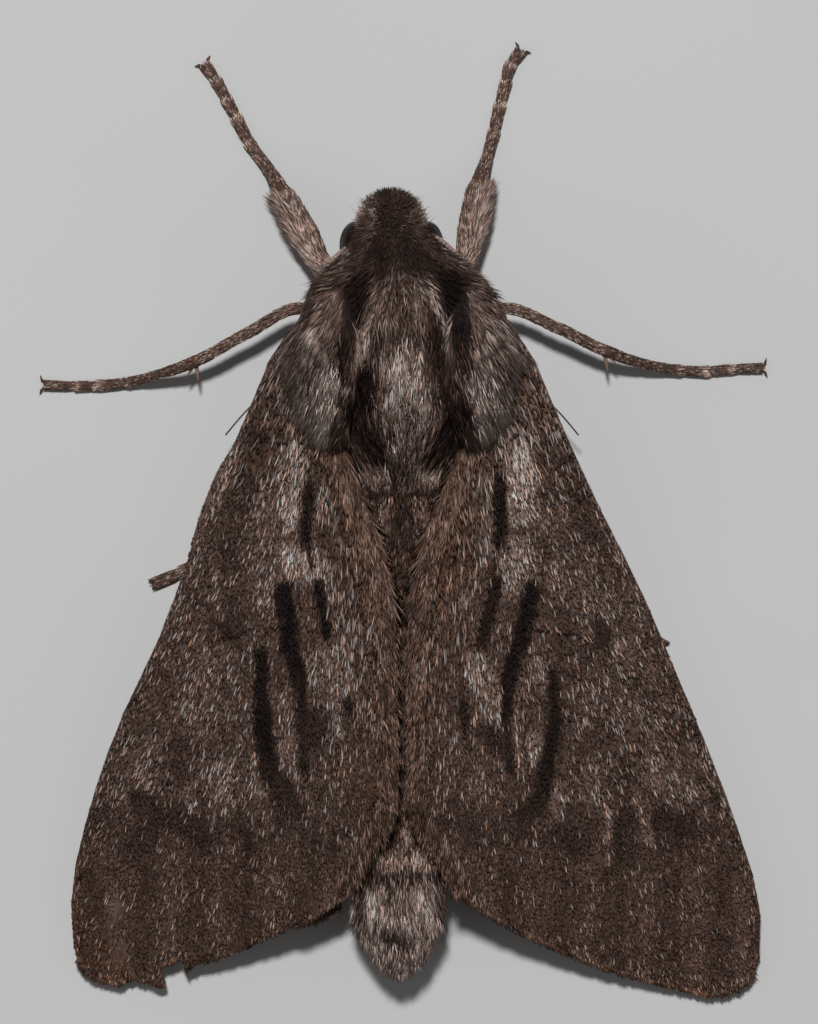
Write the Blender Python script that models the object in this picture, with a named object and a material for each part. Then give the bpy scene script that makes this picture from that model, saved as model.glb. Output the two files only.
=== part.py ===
"""Northern pine sphinx, a resting hawk moth, life size.

The moth stands on a level surface with its forewings swept back like a low roof.
Sizes are in millimetres and are turned into metres when a mesh is made.
+X is the moth's right, +Y its head end, +Z up, and the surface under its feet is at Z = 0.
"""

import math
import random

import bmesh
import bpy
import numpy as np
from mathutils import Vector
from mathutils.geometry import delaunay_2d_cdt

MM = 0.001

# Driving dimensions, in millimetres
GAP = 0.3                  # space between pieces that meet
BODY_SIDES = 28            # facets round the thorax and abdomen
LEG_SIDES = 8
WING_THICKNESS = 0.5
VEIN_HEIGHT = 0.13         # how far a vein stands out of the membrane
VEIN_HALF_WIDTH = 0.22
VEIN_STEP = 1.9            # spacing of the points along a vein
EYE_RADII = (0.56, 0.88, 0.88)
FOOT_HEIGHT = 0.22         # height of a tarsus axis where it lies on the surface

# Body sections from front to back: y, half width, underside z, top z, middle x
BODY_RINGS = {"thorax": 15, "head": 9, "abdomen": 17}
THORAX = (
    (9.1, 0.8, 2.9, 4.9, -0.2),
    (8.8, 1.7, 2.3, 5.8, -0.1),
    (8.1, 2.55, 1.8, 6.6, 0.0),
    (6.7, 3.15, 1.3, 7.1, 0.0),
    (5.0, 3.15, 1.2, 7.2, 0.0),
    (3.6, 2.7, 1.35, 6.8, 0.0),
    (2.5, 2.1, 1.6, 6.2, 0.0),
    (1.9, 1.3, 2.2, 5.5, 0.0),
)
HEAD = (
    (11.4, 0.6, 2.95, 4.25, -0.38),
    (11.1, 1.05, 2.6, 4.8, -0.38),
    (10.4, 1.3, 2.35, 5.15, -0.38),
    (9.6, 1.35, 2.4, 5.2, -0.35),
    (8.9, 1.2, 2.6, 5.1, -0.3),
)
ABDOMEN_FRONT, ABDOMEN_BACK = 2.5, -16.1
ABDOMEN = (
    (2.5, 1.2, 1.9, 4.5, 0.0),
    (1.6, 1.75, 1.4, 4.85, 0.0),
    (-1.5, 1.85, 1.2, 4.85, 0.0),
    (-6.6, 1.8, 1.2, 4.4, 0.0),
    (-10.3, 1.75, 1.3, 4.05, -0.05),
    (-13.2, 1.68, 1.4, 3.85, -0.15),
    (-15.0, 1.35, 1.75, 3.7, -0.13),
    (-16.1, 0.75, 2.2, 3.25, -0.1),
)
SEGMENT_COUNT = 8          # rings of the abdomen
SEGMENT_STEP = 0.09        # how far each ring's rear rim stands out
TAIL_TIP = (-0.08, -16.65, 2.75)

# Tegula: the shoulder pad over each wing root
TEGULA_FRONT, TEGULA_BACK = 8.35, 3.3
TEGULA_ANGLE, TEGULA_SPREAD = 50.0, 23.0   # degrees from the top of the thorax
TEGULA_RIM, TEGULA_CROWN = 0.3, 0.75

# Forewing outline on plan, right side: the leading edge, the rounded tip, and so on round
COSTA = ((2.4, 7.3), (4.1, 6.9), (5.1, 4.9), (6.0, 2.9), (7.25, -0.05), (9.05, -4.45),
         (10.95, -8.1), (12.3, -11.4), (13.05, -13.9), (13.18, -15.0), (13.1, -16.1))
APEX = ((13.1, -16.1), (12.85, -16.85), (12.3, -17.3), (11.3, -17.5))
OUTER = ((11.3, -17.5), (9.6, -17.05), (7.5, -16.45), (5.6, -15.65), (3.7, -14.7), (1.95, -13.5))
INNER = ((2.4, 4.4), (2.0, 2.1), (1.5, 0.9), (1.05, -0.2), (0.65, -1.6), (0.34, -3.1),
         (0.23, -4.4), (0.2, -5.7), (0.2, -7.5), (0.2, -9.3), (0.27, -10.6), (0.75, -11.5),
         (1.3, -12.3), (1.95, -13.5))
LEFT_NARROWER = 0.08       # the left wing is held closer in, by this share at its tip
LEFT_RAISED = 0.45         # and its tip lies this far forward
LEFT_NOTCH = ((-8.7, -17.1), (-8.87, -16.35), (-8.15, -16.1), (-7.9, -16.6))

# Hindwing outline on plan, right side, and the left one's wider reach
HIND_RIGHT = {
    "costa": ((2.4, 4.0), (4.2, 3.3), (5.7, 1.2), (6.9, -2.0), (7.7, -5.5), (7.6, -8.5)),
    "outer": ((7.6, -8.5), (6.9, -10.6), (5.6, -12.1), (4.1, -12.9), (2.7, -12.7)),
    "inner": ((2.4, 2.6), (2.4, 0.0), (2.45, -4.0), (2.4, -8.0), (2.45, -11.0), (2.7, -12.7)),
}
HIND_LEFT = {
    "costa": ((2.4, 4.0), (4.6, 3.3), (6.1, 2.75), (6.95, 1.3), (7.55, -0.4), (7.95, -2.0),
              (8.2, -5.0), (8.1, -8.5)),
    "outer": ((8.1, -8.5), (7.3, -11.4), (5.6, -13.6), (4.0, -14.55), (3.0, -14.75), (2.2, -14.2)),
    "inner": ((2.4, 2.6), (2.4, 0.0), (2.45, -4.0), (2.4, -8.0), (2.3, -11.5), (2.2, -14.2)),
}
HIND_DROP = WING_THICKNESS + GAP + 0.2    # how far the hindwing lies below the forewing

# The roof that the wings form: height at the ridge and at the leading edge, by y
RIDGE = ((8.0, 6.9), (4.0, 6.5), (1.5, 6.35), (-3.0, 5.9), (-8.0, 5.6), (-13.0, 5.0),
         (-17.5, 4.3))
EDGE_LOW, EDGE_HIGH, EDGE_POWER = 0.45, 3.8, 1.3
STEEP_FRONT, STEEP_BACK = 1.25, 2.0        # the roof's power at its front and back

# Veins as (s, t) points: s runs from root to margin, t from leading to inner edge
FORE_VEINS = (
    ((0.05, 0.10), (0.30, 0.075), (0.62, 0.012)),
    ((0.05, 0.26), (0.25, 0.22), (0.48, 0.24)),
    ((0.36, 0.22), (0.60, 0.11), (0.78, 0.012)),
    ((0.48, 0.24), (0.70, 0.14), (0.90, 0.014)),
    ((0.48, 0.24), (0.76, 0.17), (0.975, 0.05)),
    ((0.48, 0.26), (0.75, 0.27), (0.985, 0.20)),
    ((0.46, 0.40), (0.75, 0.40), (0.985, 0.35)),
    ((0.45, 0.53), (0.75, 0.53), (0.985, 0.50)),
    ((0.05, 0.42), (0.20, 0.50), (0.45, 0.53)),
    ((0.36, 0.53), (0.65, 0.66), (0.985, 0.65)),
    ((0.22, 0.50), (0.55, 0.75), (0.985, 0.80)),
    ((0.05, 0.68), (0.40, 0.86), (0.97, 0.93)),
    ((0.48, 0.24), (0.455, 0.40), (0.45, 0.53)),
)
HIND_VEINS = (
    ((0.08, 0.12), (0.45, 0.07), (0.93, 0.03)),
    ((0.08, 0.30), (0.45, 0.24), (0.975, 0.17)),
    ((0.45, 0.24), (0.70, 0.36), (0.975, 0.36)),
    ((0.08, 0.50), (0.42, 0.52), (0.975, 0.55)),
    ((0.30, 0.52), (0.65, 0.70), (0.975, 0.74)),
    ((0.08, 0.75), (0.50, 0.88), (0.96, 0.92)),
)

# Leg axes as (x, y, z, radius), from the coxa to the last joint before the claws
FORELEG_RIGHT = ((0.8, 8.3, 1.9, 0.5), (1.6, 8.7, 1.9, 0.45), (2.2, 9.3, 1.85, 0.42),
                 (2.5, 10.6, 1.4, 0.46), (2.84, 12.3, 0.75, 0.36), (3.1, 13.2, 0.35, 0.26),
                 (3.36, 14.15, FOOT_HEIGHT, 0.26), (3.6, 15.2, FOOT_HEIGHT, 0.26),
                 (3.8, 16.0, FOOT_HEIGHT, 0.25), (3.97, 16.65, FOOT_HEIGHT, 0.25),
                 (4.35, 17.2, FOOT_HEIGHT, 0.27))
FORELEG_LEFT = ((-0.8, 8.3, 1.9, 0.5), (-1.8, 8.6, 1.9, 0.45), (-2.75, 9.1, 1.85, 0.42),
                (-3.5, 10.4, 1.4, 0.46), (-4.4, 12.0, 0.75, 0.36), (-4.95, 12.9, 0.35, 0.26),
                (-5.6, 13.8, FOOT_HEIGHT, 0.26), (-6.08, 14.7, FOOT_HEIGHT, 0.26),
                (-6.45, 15.4, FOOT_HEIGHT, 0.25), (-6.83, 16.1, FOOT_HEIGHT, 0.25),
                (-7.25, 16.7, FOOT_HEIGHT, 0.27))
MIDLEG_RIGHT = ((1.5, 6.4, 1.6, 0.55), (2.7, 7.3, 1.8, 0.42), (3.7, 7.9, 2.0, 0.34),
                (5.6, 7.0, 2.1, 0.32), (7.4, 6.15, 1.8, 0.32), (8.8, 5.7, 1.05, 0.26),
                (10.2, 5.47, 0.35, 0.27), (11.2, 5.42, FOOT_HEIGHT, 0.28),
                (12.1, 5.5, FOOT_HEIGHT, 0.25), (13.25, 5.55, FOOT_HEIGHT, 0.26))
MIDLEG_LEFT = ((-1.5, 6.4, 1.6, 0.55), (-2.7, 7.3, 1.8, 0.42), (-3.7, 7.9, 2.0, 0.34),
               (-5.6, 6.8, 2.1, 0.32), (-7.55, 5.75, 1.8, 0.32), (-8.9, 5.3, 1.05, 0.26),
               (-10.1, 5.02, 0.35, 0.27), (-11.2, 4.9, FOOT_HEIGHT, 0.28),
               (-12.0, 4.88, FOOT_HEIGHT, 0.25), (-13.15, 4.92, FOOT_HEIGHT, 0.26))
HINDLEG_RIGHT = ((1.3, 3.9, 1.5, 0.55), (2.8, 3.0, 1.3, 0.42), (4.3, 2.1, 1.35, 0.36),
                 (5.5, 0.2, 1.0, 0.34), (6.5, -1.5, 0.55, 0.3), (7.6, -2.7, 0.3, 0.26),
                 (8.6, -3.6, FOOT_HEIGHT, 0.26), (9.75, -4.6, FOOT_HEIGHT, 0.26))
HINDLEG_LEFT = ((-1.3, 3.9, 1.5, 0.55), (-2.8, 3.2, 1.3, 0.42), (-4.2, 2.5, 1.35, 0.36),
                (-5.3, 1.0, 1.0, 0.34), (-6.2, -0.5, 0.55, 0.3), (-7.2, -1.4, 0.3, 0.26),
                (-8.1, -1.95, FOOT_HEIGHT, 0.26), (-9.15, -2.4, FOOT_HEIGHT, 0.26))
CLAW_LENGTH = 0.42

# Locks of the coat. Each row is y, first and last angle from the top in degrees, how many,
# length, width, and lift in degrees: at 0 they lie flat towards the tail, at 180 to the head.
LOCK_THICKNESS = 0.3
LOCK_DEPTH = 0.28          # how far a lock's root is sunk in the body
THORAX_LOCKS = (
    (8.75, -112, 112, 10, 1.3, 0.75, 108),
    (8.2, 86, 116, 3, 1.2, 0.8, 96),
    (8.2, -116, -86, 3, 1.2, 0.8, 96),
    (8.0, -16, 16, 3, 1.2, 0.8, 24),
    (6.9, -20, 20, 3, 1.3, 0.8, 16),
    (5.4, -24, 24, 4, 1.4, 0.8, 16),
    (3.9, -28, 28, 4, 1.5, 0.8, 18),
    (2.9, -40, 40, 4, 1.5, 0.75, 14),
    (7.6, 128, 232, 4, 0.9, 0.8, 30),
    (5.3, 150, 210, 2, 1.0, 0.8, 30),
    (3.6, 160, 200, 2, 1.0, 0.8, 26),
)
HEAD_LOCKS = (
    (11.15, -100, 100, 6, 0.95, 0.55, 158),
    (10.7, -62, 62, 4, 0.95, 0.6, 138),
    (9.9, -30, 30, 2, 0.8, 0.6, 60),
)
ABDOMEN_LOCKS = (
    (-12.7, -100, 100, 9, 0.95, 0.7, 15),
    (-14.3, -104, 104, 8, 1.0, 0.7, 16),
    (-15.4, -130, 130, 7, 1.15, 0.6, 20),
)
# On a front leg's tibia: share of its length, how far out to the side, length, width
LEG_LOCKS = ((0.12, 0.9, 0.95, 0.5), (0.34, 0.9, 1.0, 0.5), (0.56, 0.8, 1.0, 0.5),
             (0.78, 0.6, 0.95, 0.45))
# On the tegula: share of the way to its rim, first and last turn in degrees from its front
TEGULA_LOCKS = (
    (0.35, 100, 260, 4, 1.5, 0.8, 14),
    (0.8, 60, 150, 4, 1.3, 0.7, 24),
    (0.85, 160, 236, 4, 1.45, 0.75, 8),
)
SPUR_RADIUS = 0.25

# Antenna axis, right side, from its socket to its hooked tip: x, y, z, radius
ANTENNA = ((0.95, 10.5, 5.2, 0.26), (1.6, 10.1, 5.2, 0.26), (2.3, 9.5, 4.75, 0.27),
           (3.1, 8.6, 3.9, 0.27), (3.8, 7.6, 3.02, 0.26), (4.6, 6.0, 2.68, 0.25),
           (5.3, 4.5, 2.45, 0.21), (5.9, 3.7, 2.35, 0.15), (6.45, 3.05, 2.25, 0.07))
HEAD_SHIFT = -0.38         # the head is turned a little to the moth's left

# Material colours, roughness and metallic value
MATERIALS = {
    "coat": ((0.085, 0.062, 0.052), 0.85, 0.0),
    "wing": ((0.10, 0.075, 0.062), 0.8, 0.0),
    "leg": ((0.12, 0.075, 0.05), 0.75, 0.0),
    "eye": ((0.018, 0.010, 0.008), 0.2, 0.0),
    "antenna": ((0.35, 0.30, 0.26), 0.7, 0.0),
}

random.seed(7)


def clear_scene():
    for obj in list(bpy.data.objects):
        bpy.data.objects.remove(obj)


def material(name):
    """The named material, made on first use."""
    found = bpy.data.materials.get(name)
    if found:
        return found
    colour, roughness, metallic = MATERIALS[name]
    made = bpy.data.materials.new(name)
    made.use_nodes = True
    shader = made.node_tree.nodes["Principled BSDF"]
    shader.inputs["Base Color"].default_value = (*colour, 1.0)
    shader.inputs["Roughness"].default_value = roughness
    shader.inputs["Metallic"].default_value = metallic
    return made


def mesh_object(name, points, faces, finish="coat"):
    """An object from points in millimetres, with its faces turned outwards."""
    mesh = bpy.data.meshes.new(name)
    mesh.from_pydata([Vector(p) * MM for p in points], [], [tuple(map(int, f)) for f in faces])
    work = bmesh.new()
    work.from_mesh(mesh)
    bmesh.ops.recalc_face_normals(work, faces=work.faces)
    work.to_mesh(mesh)
    work.free()
    mesh.materials.append(material(finish))
    mesh.shade_smooth()
    mesh.set_sharp_from_angle(angle=math.radians(40))
    obj = bpy.data.objects.new(name, mesh)
    bpy.context.scene.collection.objects.link(obj)
    return obj


def curve_through(points, places):
    """Points on the smooth curve through some points, at places from 0 to 1 of its length."""
    knots = np.asarray(points, float)
    chords = np.linalg.norm(np.diff(knots[:, :3], axis=0), axis=1)
    at = np.concatenate([[0.0], np.cumsum(chords)]) / chords.sum()
    slopes = np.gradient(knots, at, axis=0)
    places = np.clip(np.atleast_1d(np.asarray(places, float)), 0.0, 1.0)
    i = np.clip(np.searchsorted(at, places, side="right") - 1, 0, len(at) - 2)
    span = (at[i + 1] - at[i])[:, None]
    u = (places - at[i])[:, None] / span
    return (
        (2 * u**3 - 3 * u**2 + 1) * knots[i]
        + (u**3 - 2 * u**2 + u) * span * slopes[i]
        + (3 * u**2 - 2 * u**3) * knots[i + 1]
        + (u**3 - u**2) * span * slopes[i + 1]
    )


def lofted(rings):
    """Points and faces of a closed body through rings of equal size, the ends closed flat."""
    size = len(rings[0])
    points = [tuple(p) for ring in rings for p in ring]
    faces = []
    for r in range(len(rings) - 1):
        for k in range(size):
            a, b = r * size + k, r * size + (k + 1) % size
            faces.append((a, b, b + size, a + size))
    faces.append(tuple(range(size)))
    faces.append(tuple(len(points) - size + k for k in range(size)))
    return points, faces


def section_at(sections, y):
    """Half width, middle z, half height and middle x of a body at y."""
    table = np.asarray(sections, float)[::-1]
    u = np.interp(y, table[:, 0], np.linspace(0, 1, len(table)))
    slopes = np.gradient(table[:, 1:], np.linspace(0, 1, len(table)), axis=0)
    i = min(int(u * (len(table) - 1)), len(table) - 2)
    step = 1 / (len(table) - 1)
    w = u / step - i
    low, high = table[i, 1:], table[i + 1, 1:]
    value = (
        (2 * w**3 - 3 * w**2 + 1) * low
        + (w**3 - 2 * w**2 + w) * step * slopes[i]
        + (3 * w**2 - 2 * w**3) * high
        + (w**3 - w**2) * step * slopes[i + 1]
    )
    half_width, z_low, z_high, x_mid = value
    return half_width, (z_low + z_high) / 2, (z_high - z_low) / 2, x_mid


def body_point(sections, y, angle, out=0.0):
    """A point on a body's surface, or out from it. The angle is from the top, in radians."""
    half_width, z_mid, half_height, x_mid = section_at(sections, y)
    return np.array([
        x_mid + (half_width + out) * math.sin(angle),
        y,
        z_mid + (half_height + out) * math.cos(angle),
    ])


def body_ring(sections, y, out=0.0, shift=0.0):
    """One ring of a body, with its y moved by shift."""
    turns = [2 * math.pi * k / BODY_SIDES for k in range(BODY_SIDES)]
    return [body_point(sections, y, turn, out) + np.array([0, shift, 0]) for turn in turns]


def spaced(first, last, count):
    return [first + (last - first) * i / (count - 1) for i in range(count)]


def body_shell(name, sections, count, out=0.0):
    """A body through its sections, or with out above 0 the room its neighbours leave round it."""
    stations = spaced(sections[0][0], sections[-1][0], count)
    rings = [body_ring(sections, y, out) for y in stations]
    rings[0] = body_ring(sections, stations[0], out, out)
    rings[-1] = body_ring(sections, stations[-1], out, -out)
    return mesh_object(name, *lofted(rings))


def boolean(target, others, operation):
    """Joins others to the target or cuts them from it, and removes them."""
    group = bpy.data.collections.new("pieces")
    for other in others:
        group.objects.link(other)
    modifier = target.modifiers.new("pieces", "BOOLEAN")
    modifier.operand_type = "COLLECTION"
    modifier.collection = group
    modifier.operation = operation
    modifier.solver = "EXACT"
    graph = bpy.context.evaluated_depsgraph_get()
    made = bpy.data.meshes.new_from_object(target.evaluated_get(graph))
    target.modifiers.clear()
    target.data = made
    for other in others:
        bpy.data.objects.remove(other)
    bpy.data.collections.remove(group)
    keep_largest(target)
    return target


def keep_largest(obj):
    """Drops every closed surface of an object but its largest."""
    work = bmesh.new()
    work.from_mesh(obj.data)
    bmesh.ops.remove_doubles(work, verts=work.verts, dist=1e-7)
    left, groups = set(work.verts), []
    while left:
        front, group = [left.pop()], []
        while front:
            vert = front.pop()
            group.append(vert)
            for edge in vert.link_edges:
                other = edge.other_vert(vert)
                if other in left:
                    left.remove(other)
                    front.append(other)
        groups.append(group)
    groups.sort(key=len)
    for group in groups[:-1]:
        bmesh.ops.delete(work, geom=group, context="VERTS")
    work.to_mesh(obj.data)
    work.free()


def lock(root, heading, facing, length, width):
    """One flat tapered lock of hair, its tip turned down a little to the surface it faces."""
    heading = heading / np.linalg.norm(heading)
    aside = np.cross(heading, facing)
    aside /= np.linalg.norm(aside)
    over = np.cross(aside, heading)
    rings = []
    for along, wide in ((0.0, 0.75), (0.45, 1.0), (0.8, 0.6), (1.0, 0.16)):
        centre = root + length * (along * heading - 0.12 * along**2 * over)
        ring = []
        for k in range(6):
            turn = 2 * math.pi * k / 6
            ring.append(centre + wide / 2 * (
                width * math.cos(turn) * aside + LOCK_THICKNESS * math.sin(turn) * over))
        rings.append(ring)
    return mesh_object("lock", *lofted(rings))


def obstacles():
    """Points with a radius along the legs, antennae and eyes, which the locks must clear."""
    found = [(*eye_centre(side), EYE_RADII[1]) for side in (-1, 1)]
    axes = [antenna_axis(-1), antenna_axis(1), FORELEG_LEFT, FORELEG_RIGHT, MIDLEG_LEFT,
            MIDLEG_RIGHT, HINDLEG_LEFT, HINDLEG_RIGHT]
    for axis in axes:
        found += [tuple(p) for p in curve_through(axis, np.linspace(0, 1, 60))]
    return np.array(found)


def is_clear(start, end, width, round_points):
    """Does a lock from start to end keep the gap to the given round points?"""
    for share in np.linspace(0, 1, 6):
        away = np.linalg.norm(round_points[:, :3] - (start + share * (end - start)), axis=1)
        if (away < round_points[:, 3] + GAP + width * 0.4 * (1 - share / 2)).any():
            return False
    return True


def spread(first, last, count):
    """Values from first to last with a little seeded unevenness."""
    step = (last - first) / max(1, count - 1)
    return [v + random.uniform(-0.22, 0.22) * step for v in spaced(first, last, count)]


def locks_on(surface, rows):
    """Locks in rows. The surface gives a point from (row place, angle in radians, out)."""
    made, round_points = [], obstacles()
    for place, first, last, count, length, width, lift in rows:
        for angle in spread(math.radians(first), math.radians(last), count):
            at = place + random.uniform(-0.12, 0.12) * (abs(place) > 1.5)
            base = surface(at, angle, 0.0)
            facing = surface(at, angle, 0.1) - base
            facing /= np.linalg.norm(facing)
            lie = np.array([random.uniform(-0.12, 0.12), -1.0, 0.0])
            lie -= facing * lie.dot(facing)
            lie /= np.linalg.norm(lie)
            tilt = math.radians(lift + random.uniform(-6, 6))
            heading = math.cos(tilt) * lie + math.sin(tilt) * facing
            size = random.uniform(0.85, 1.15)
            root = base - facing * LOCK_DEPTH
            if is_clear(root, root + length * size * heading, width, round_points):
                made.append(lock(root, heading, facing, length * size, width * size))
    return made


def leg_locks(axis, side):
    """The fringe of scales on the outer side of a front leg's tibia."""
    knee, ankle = np.array(axis[2]), np.array(axis[4])
    along = (ankle - knee)[:3] / np.linalg.norm((ankle - knee)[:3])
    outward = np.cross(along, [0, 0, 1]) * side
    outward /= np.linalg.norm(outward)
    made = []
    for share, aside, length, width in LEG_LOCKS:
        centre = knee[:3] * (1 - share) + ankle[:3] * share
        facing = np.cross(outward, along) * side
        heading = along + aside * outward * 0.62
        made.append(lock(centre + outward * 0.1, heading, facing, length, width))
    return made


def on_body(sections):
    return lambda y, angle, out: body_point(sections, y, angle, out)


def room_round(kind):
    """A cutter that keeps the gap round the thorax, head or abdomen."""
    sections = {"thorax": THORAX, "head": HEAD, "abdomen": ABDOMEN}[kind]
    return body_shell("room_" + kind, sections, BODY_RINGS[kind], GAP)


def make_thorax():
    thorax = body_shell("thorax", THORAX, BODY_RINGS["thorax"])
    return boolean(thorax, locks_on(on_body(THORAX), THORAX_LOCKS), "UNION")


def make_head():
    head = body_shell("head", HEAD, BODY_RINGS["head"])
    boolean(head, locks_on(on_body(HEAD), HEAD_LOCKS), "UNION")
    radii = np.array(EYE_RADII) + GAP
    rooms = [ball("room_eye", eye_centre(side), radii, "coat") for side in (-1, 1)]
    return boolean(head, [room_round("thorax")] + rooms, "DIFFERENCE")


def eye_centre(side):
    return np.array([HEAD_SHIFT + side * 1.33, 10.05, 3.7])


def ball(name, centre, radii, finish, rings=8, sides=14):
    """A closed round body with poles at its top and bottom."""
    radii = np.asarray(radii, float)
    points = [tuple(centre + np.array([0, 0, radii[2]]))]
    for r in range(1, rings):
        tilt = math.pi * r / rings
        for k in range(sides):
            turn = 2 * math.pi * k / sides
            offset = np.array([
                math.sin(tilt) * math.cos(turn),
                math.sin(tilt) * math.sin(turn),
                math.cos(tilt),
            ])
            points.append(tuple(centre + radii * offset))
    points.append(tuple(centre - np.array([0, 0, radii[2]])))
    last = len(points) - 1
    faces = [(0, 1 + k, 1 + (k + 1) % sides) for k in range(sides)]
    for r in range(rings - 2):
        for k in range(sides):
            a, b = 1 + r * sides + k, 1 + r * sides + (k + 1) % sides
            faces.append((a, b, b + sides, a + sides))
    start = last - sides
    faces += [(last, start + k, start + (k + 1) % sides) for k in range(sides)]
    return mesh_object(name, points, faces, finish)


def tube(name, axis, finish, sides=LEG_SIDES, flat=1.0, floor=True):
    """A closed tube along an axis of (x, y, z, radius) points. It never goes below z = 0."""
    axis = np.asarray(axis, float)
    path = axis[:, :3]
    along = np.gradient(path, axis=0)
    along /= np.linalg.norm(along, axis=1)[:, None]
    rings = []
    for centre, radius, heading in zip(path, axis[:, 3], along):
        side = np.cross(heading, [0, 0, 1])
        side /= np.linalg.norm(side)
        over = np.cross(side, heading)
        ring = []
        for k in range(sides):
            turn = 2 * math.pi * (k + 0.5) / sides
            p = centre + radius * (math.cos(turn) * side + flat * math.sin(turn) * over)
            if floor:
                p[2] = max(p[2], 0.0)
            ring.append(p)
        rings.append(ring)
    return mesh_object(name, *lofted(rings), finish)


def spike(start, end, radius):
    """A short tapering spike, such as a spur or a claw."""
    start, end = np.asarray(start, float), np.asarray(end, float)
    middle = (start + end) / 2
    axis = [(*start, radius), (*middle, radius * 0.8), (*end, radius * 0.3)]
    return tube("spike", axis, "leg", sides=6)


def make_leg(name, axis, spurs, claw_turn, fringe=()):
    """One leg: a tube from coxa to foot, its tibial spurs, its fringe and its claws."""
    leg = tube(name, axis, "leg")
    tip, before = np.array(axis[-1][:3]), np.array(axis[-2][:3])
    heading = (tip - before) / np.linalg.norm(tip - before)
    aside = np.array([-heading[1], heading[0], 0.0]) * claw_turn
    pieces = [spike(tip - heading * 0.1, tip + (heading * 0.35 + aside) * CLAW_LENGTH, 0.2)]
    for joint, reach in spurs:
        root = np.array(axis[joint][:3])
        pieces.append(spike(root, root + np.array(reach), SPUR_RADIUS))
    boolean(leg, pieces + list(fringe), "UNION")
    return boolean(leg, [room_round("thorax")], "DIFFERENCE")


def antenna_axis(side):
    """The antenna's axis on one side. Its first points turn with the head."""
    return [(HEAD_SHIFT * (1 - i / 3) * (i < 3) + side * x, y, z, r)
            for i, (x, y, z, r) in enumerate(ANTENNA)]


def make_antenna(side):
    axis = antenna_axis(side)
    name = "antenna_right" if side > 0 else "antenna_left"
    antenna = tube(name, axis, "antenna")
    return boolean(antenna, [room_round("thorax"), room_round("head")], "DIFFERENCE")


def make_palp(side):
    """A labial palp: the scaly upturned lobe at the front of the head."""
    x = HEAD_SHIFT + side * 0.48
    centre = np.array([x, 11.2, 3.0])
    name = "palp_right" if side > 0 else "palp_left"
    palp = ball(name, centre, (0.36, 0.8, 0.62), "coat")
    return boolean(palp, [room_round("head")], "DIFFERENCE")


def make_eye(side):
    name = "eye_right" if side > 0 else "eye_left"
    return ball(name, eye_centre(side), EYE_RADII, "eye", rings=10, sides=16)


def make_abdomen():
    """The abdomen as telescoped rings, each with its rear rim standing out over the next."""
    rings = []
    stations = spaced(ABDOMEN_FRONT, ABDOMEN_BACK, 2 * SEGMENT_COUNT + 1)
    for i, y in enumerate(stations):
        if 0 < i < len(stations) - 1 and i % 2 == 0:
            rings.append(body_ring(ABDOMEN, y, SEGMENT_STEP))
            rings.append(body_ring(ABDOMEN, y - 0.12))
        else:
            rings.append(body_ring(ABDOMEN, y))
    abdomen = mesh_object("abdomen", *lofted(rings))
    tail = spike((TAIL_TIP[0], ABDOMEN_BACK + 0.6, TAIL_TIP[2]), TAIL_TIP, 0.45)
    boolean(abdomen, [tail] + locks_on(on_body(ABDOMEN), ABDOMEN_LOCKS), "UNION")
    return boolean(abdomen, [room_round("thorax")], "DIFFERENCE")


def tegula_point(side, share, turn, level):
    """A point of the tegula's underside at level 0, or its outer face at level 1."""
    y_mid, y_half = (TEGULA_FRONT + TEGULA_BACK) / 2, (TEGULA_FRONT - TEGULA_BACK) / 2
    y = y_mid + y_half * share * math.cos(turn)
    angle = TEGULA_ANGLE + TEGULA_SPREAD * share * math.sin(turn)
    height = TEGULA_RIM + (TEGULA_CROWN - TEGULA_RIM) * (1 - share**2)
    return body_point(THORAX, y, side * math.radians(angle), GAP + level * height)


def make_tegula(side):
    """The pad over a wing root: a domed patch that follows the thorax."""
    shares, turns = (0.45, 0.8, 1.0), 18
    points, faces = [], []
    for level in (0, 1):
        points.append(tuple(tegula_point(side, 0.0, 0.0, level)))
        for share in shares:
            for k in range(turns):
                points.append(tuple(tegula_point(side, share, 2 * math.pi * k / turns, level)))
    count = 1 + len(shares) * turns
    for level in (0, 1):
        base = level * count
        for k in range(turns):
            n = (k + 1) % turns
            faces.append((base, base + 1 + k, base + 1 + n))
            for r in range(len(shares) - 1):
                a, b = base + 1 + r * turns + k, base + 1 + r * turns + n
                faces.append((a, b, b + turns, a + turns))
    rim = 1 + (len(shares) - 1) * turns
    for k in range(turns):
        n = (k + 1) % turns
        faces.append((rim + k, rim + n, count + rim + n, count + rim + k))
    name = "tegula_right" if side > 0 else "tegula_left"
    tegula = mesh_object(name, points, faces)

    def surface(share, turn, out):
        return tegula_point(side, share, turn, 1 + out)

    return boolean(tegula, locks_on(surface, TEGULA_LOCKS), "UNION")


def edge_x(y):
    """Distance of the leading edge from the body's middle at y."""
    table = np.array(COSTA + APEX[1:])[::-1]
    return float(np.interp(y, table[:, 1], table[:, 0]))


def roof(x, y):
    """Height of the forewing's middle surface."""
    ridge_table = np.array(RIDGE)[::-1]
    ridge = float(np.interp(y, ridge_table[:, 0], ridge_table[:, 1]))
    back = min(1.0, max(0.0, (8.0 - y) / 25.5))
    edge = EDGE_LOW + (EDGE_HIGH - EDGE_LOW) * max(0.0, (y + 17.4) / 24.5) ** EDGE_POWER
    share = min(1.0, abs(x) / edge_x(y))
    return edge + (ridge - edge) * (1 - share) ** (STEEP_FRONT + (STEEP_BACK - STEEP_FRONT) * back)


def patch(costa, outer, inner):
    """A map from (s, t) to the plan of a wing whose four edges are given."""
    root = np.array([costa[0], inner[0]])

    def at(s, t):
        c, i = curve_through(costa, s)[0], curve_through(inner, s)[0]
        m = curve_through(outer, t)[0]
        r = root[0] * (1 - t) + root[1] * t
        corners = (
            (1 - s) * (1 - t) * root[0] + (1 - s) * t * root[1]
            + s * (1 - t) * np.array(costa[-1]) + s * t * np.array(inner[-1])
        )
        return (1 - t) * c + t * i + (1 - s) * r + s * m - corners

    return at


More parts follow.
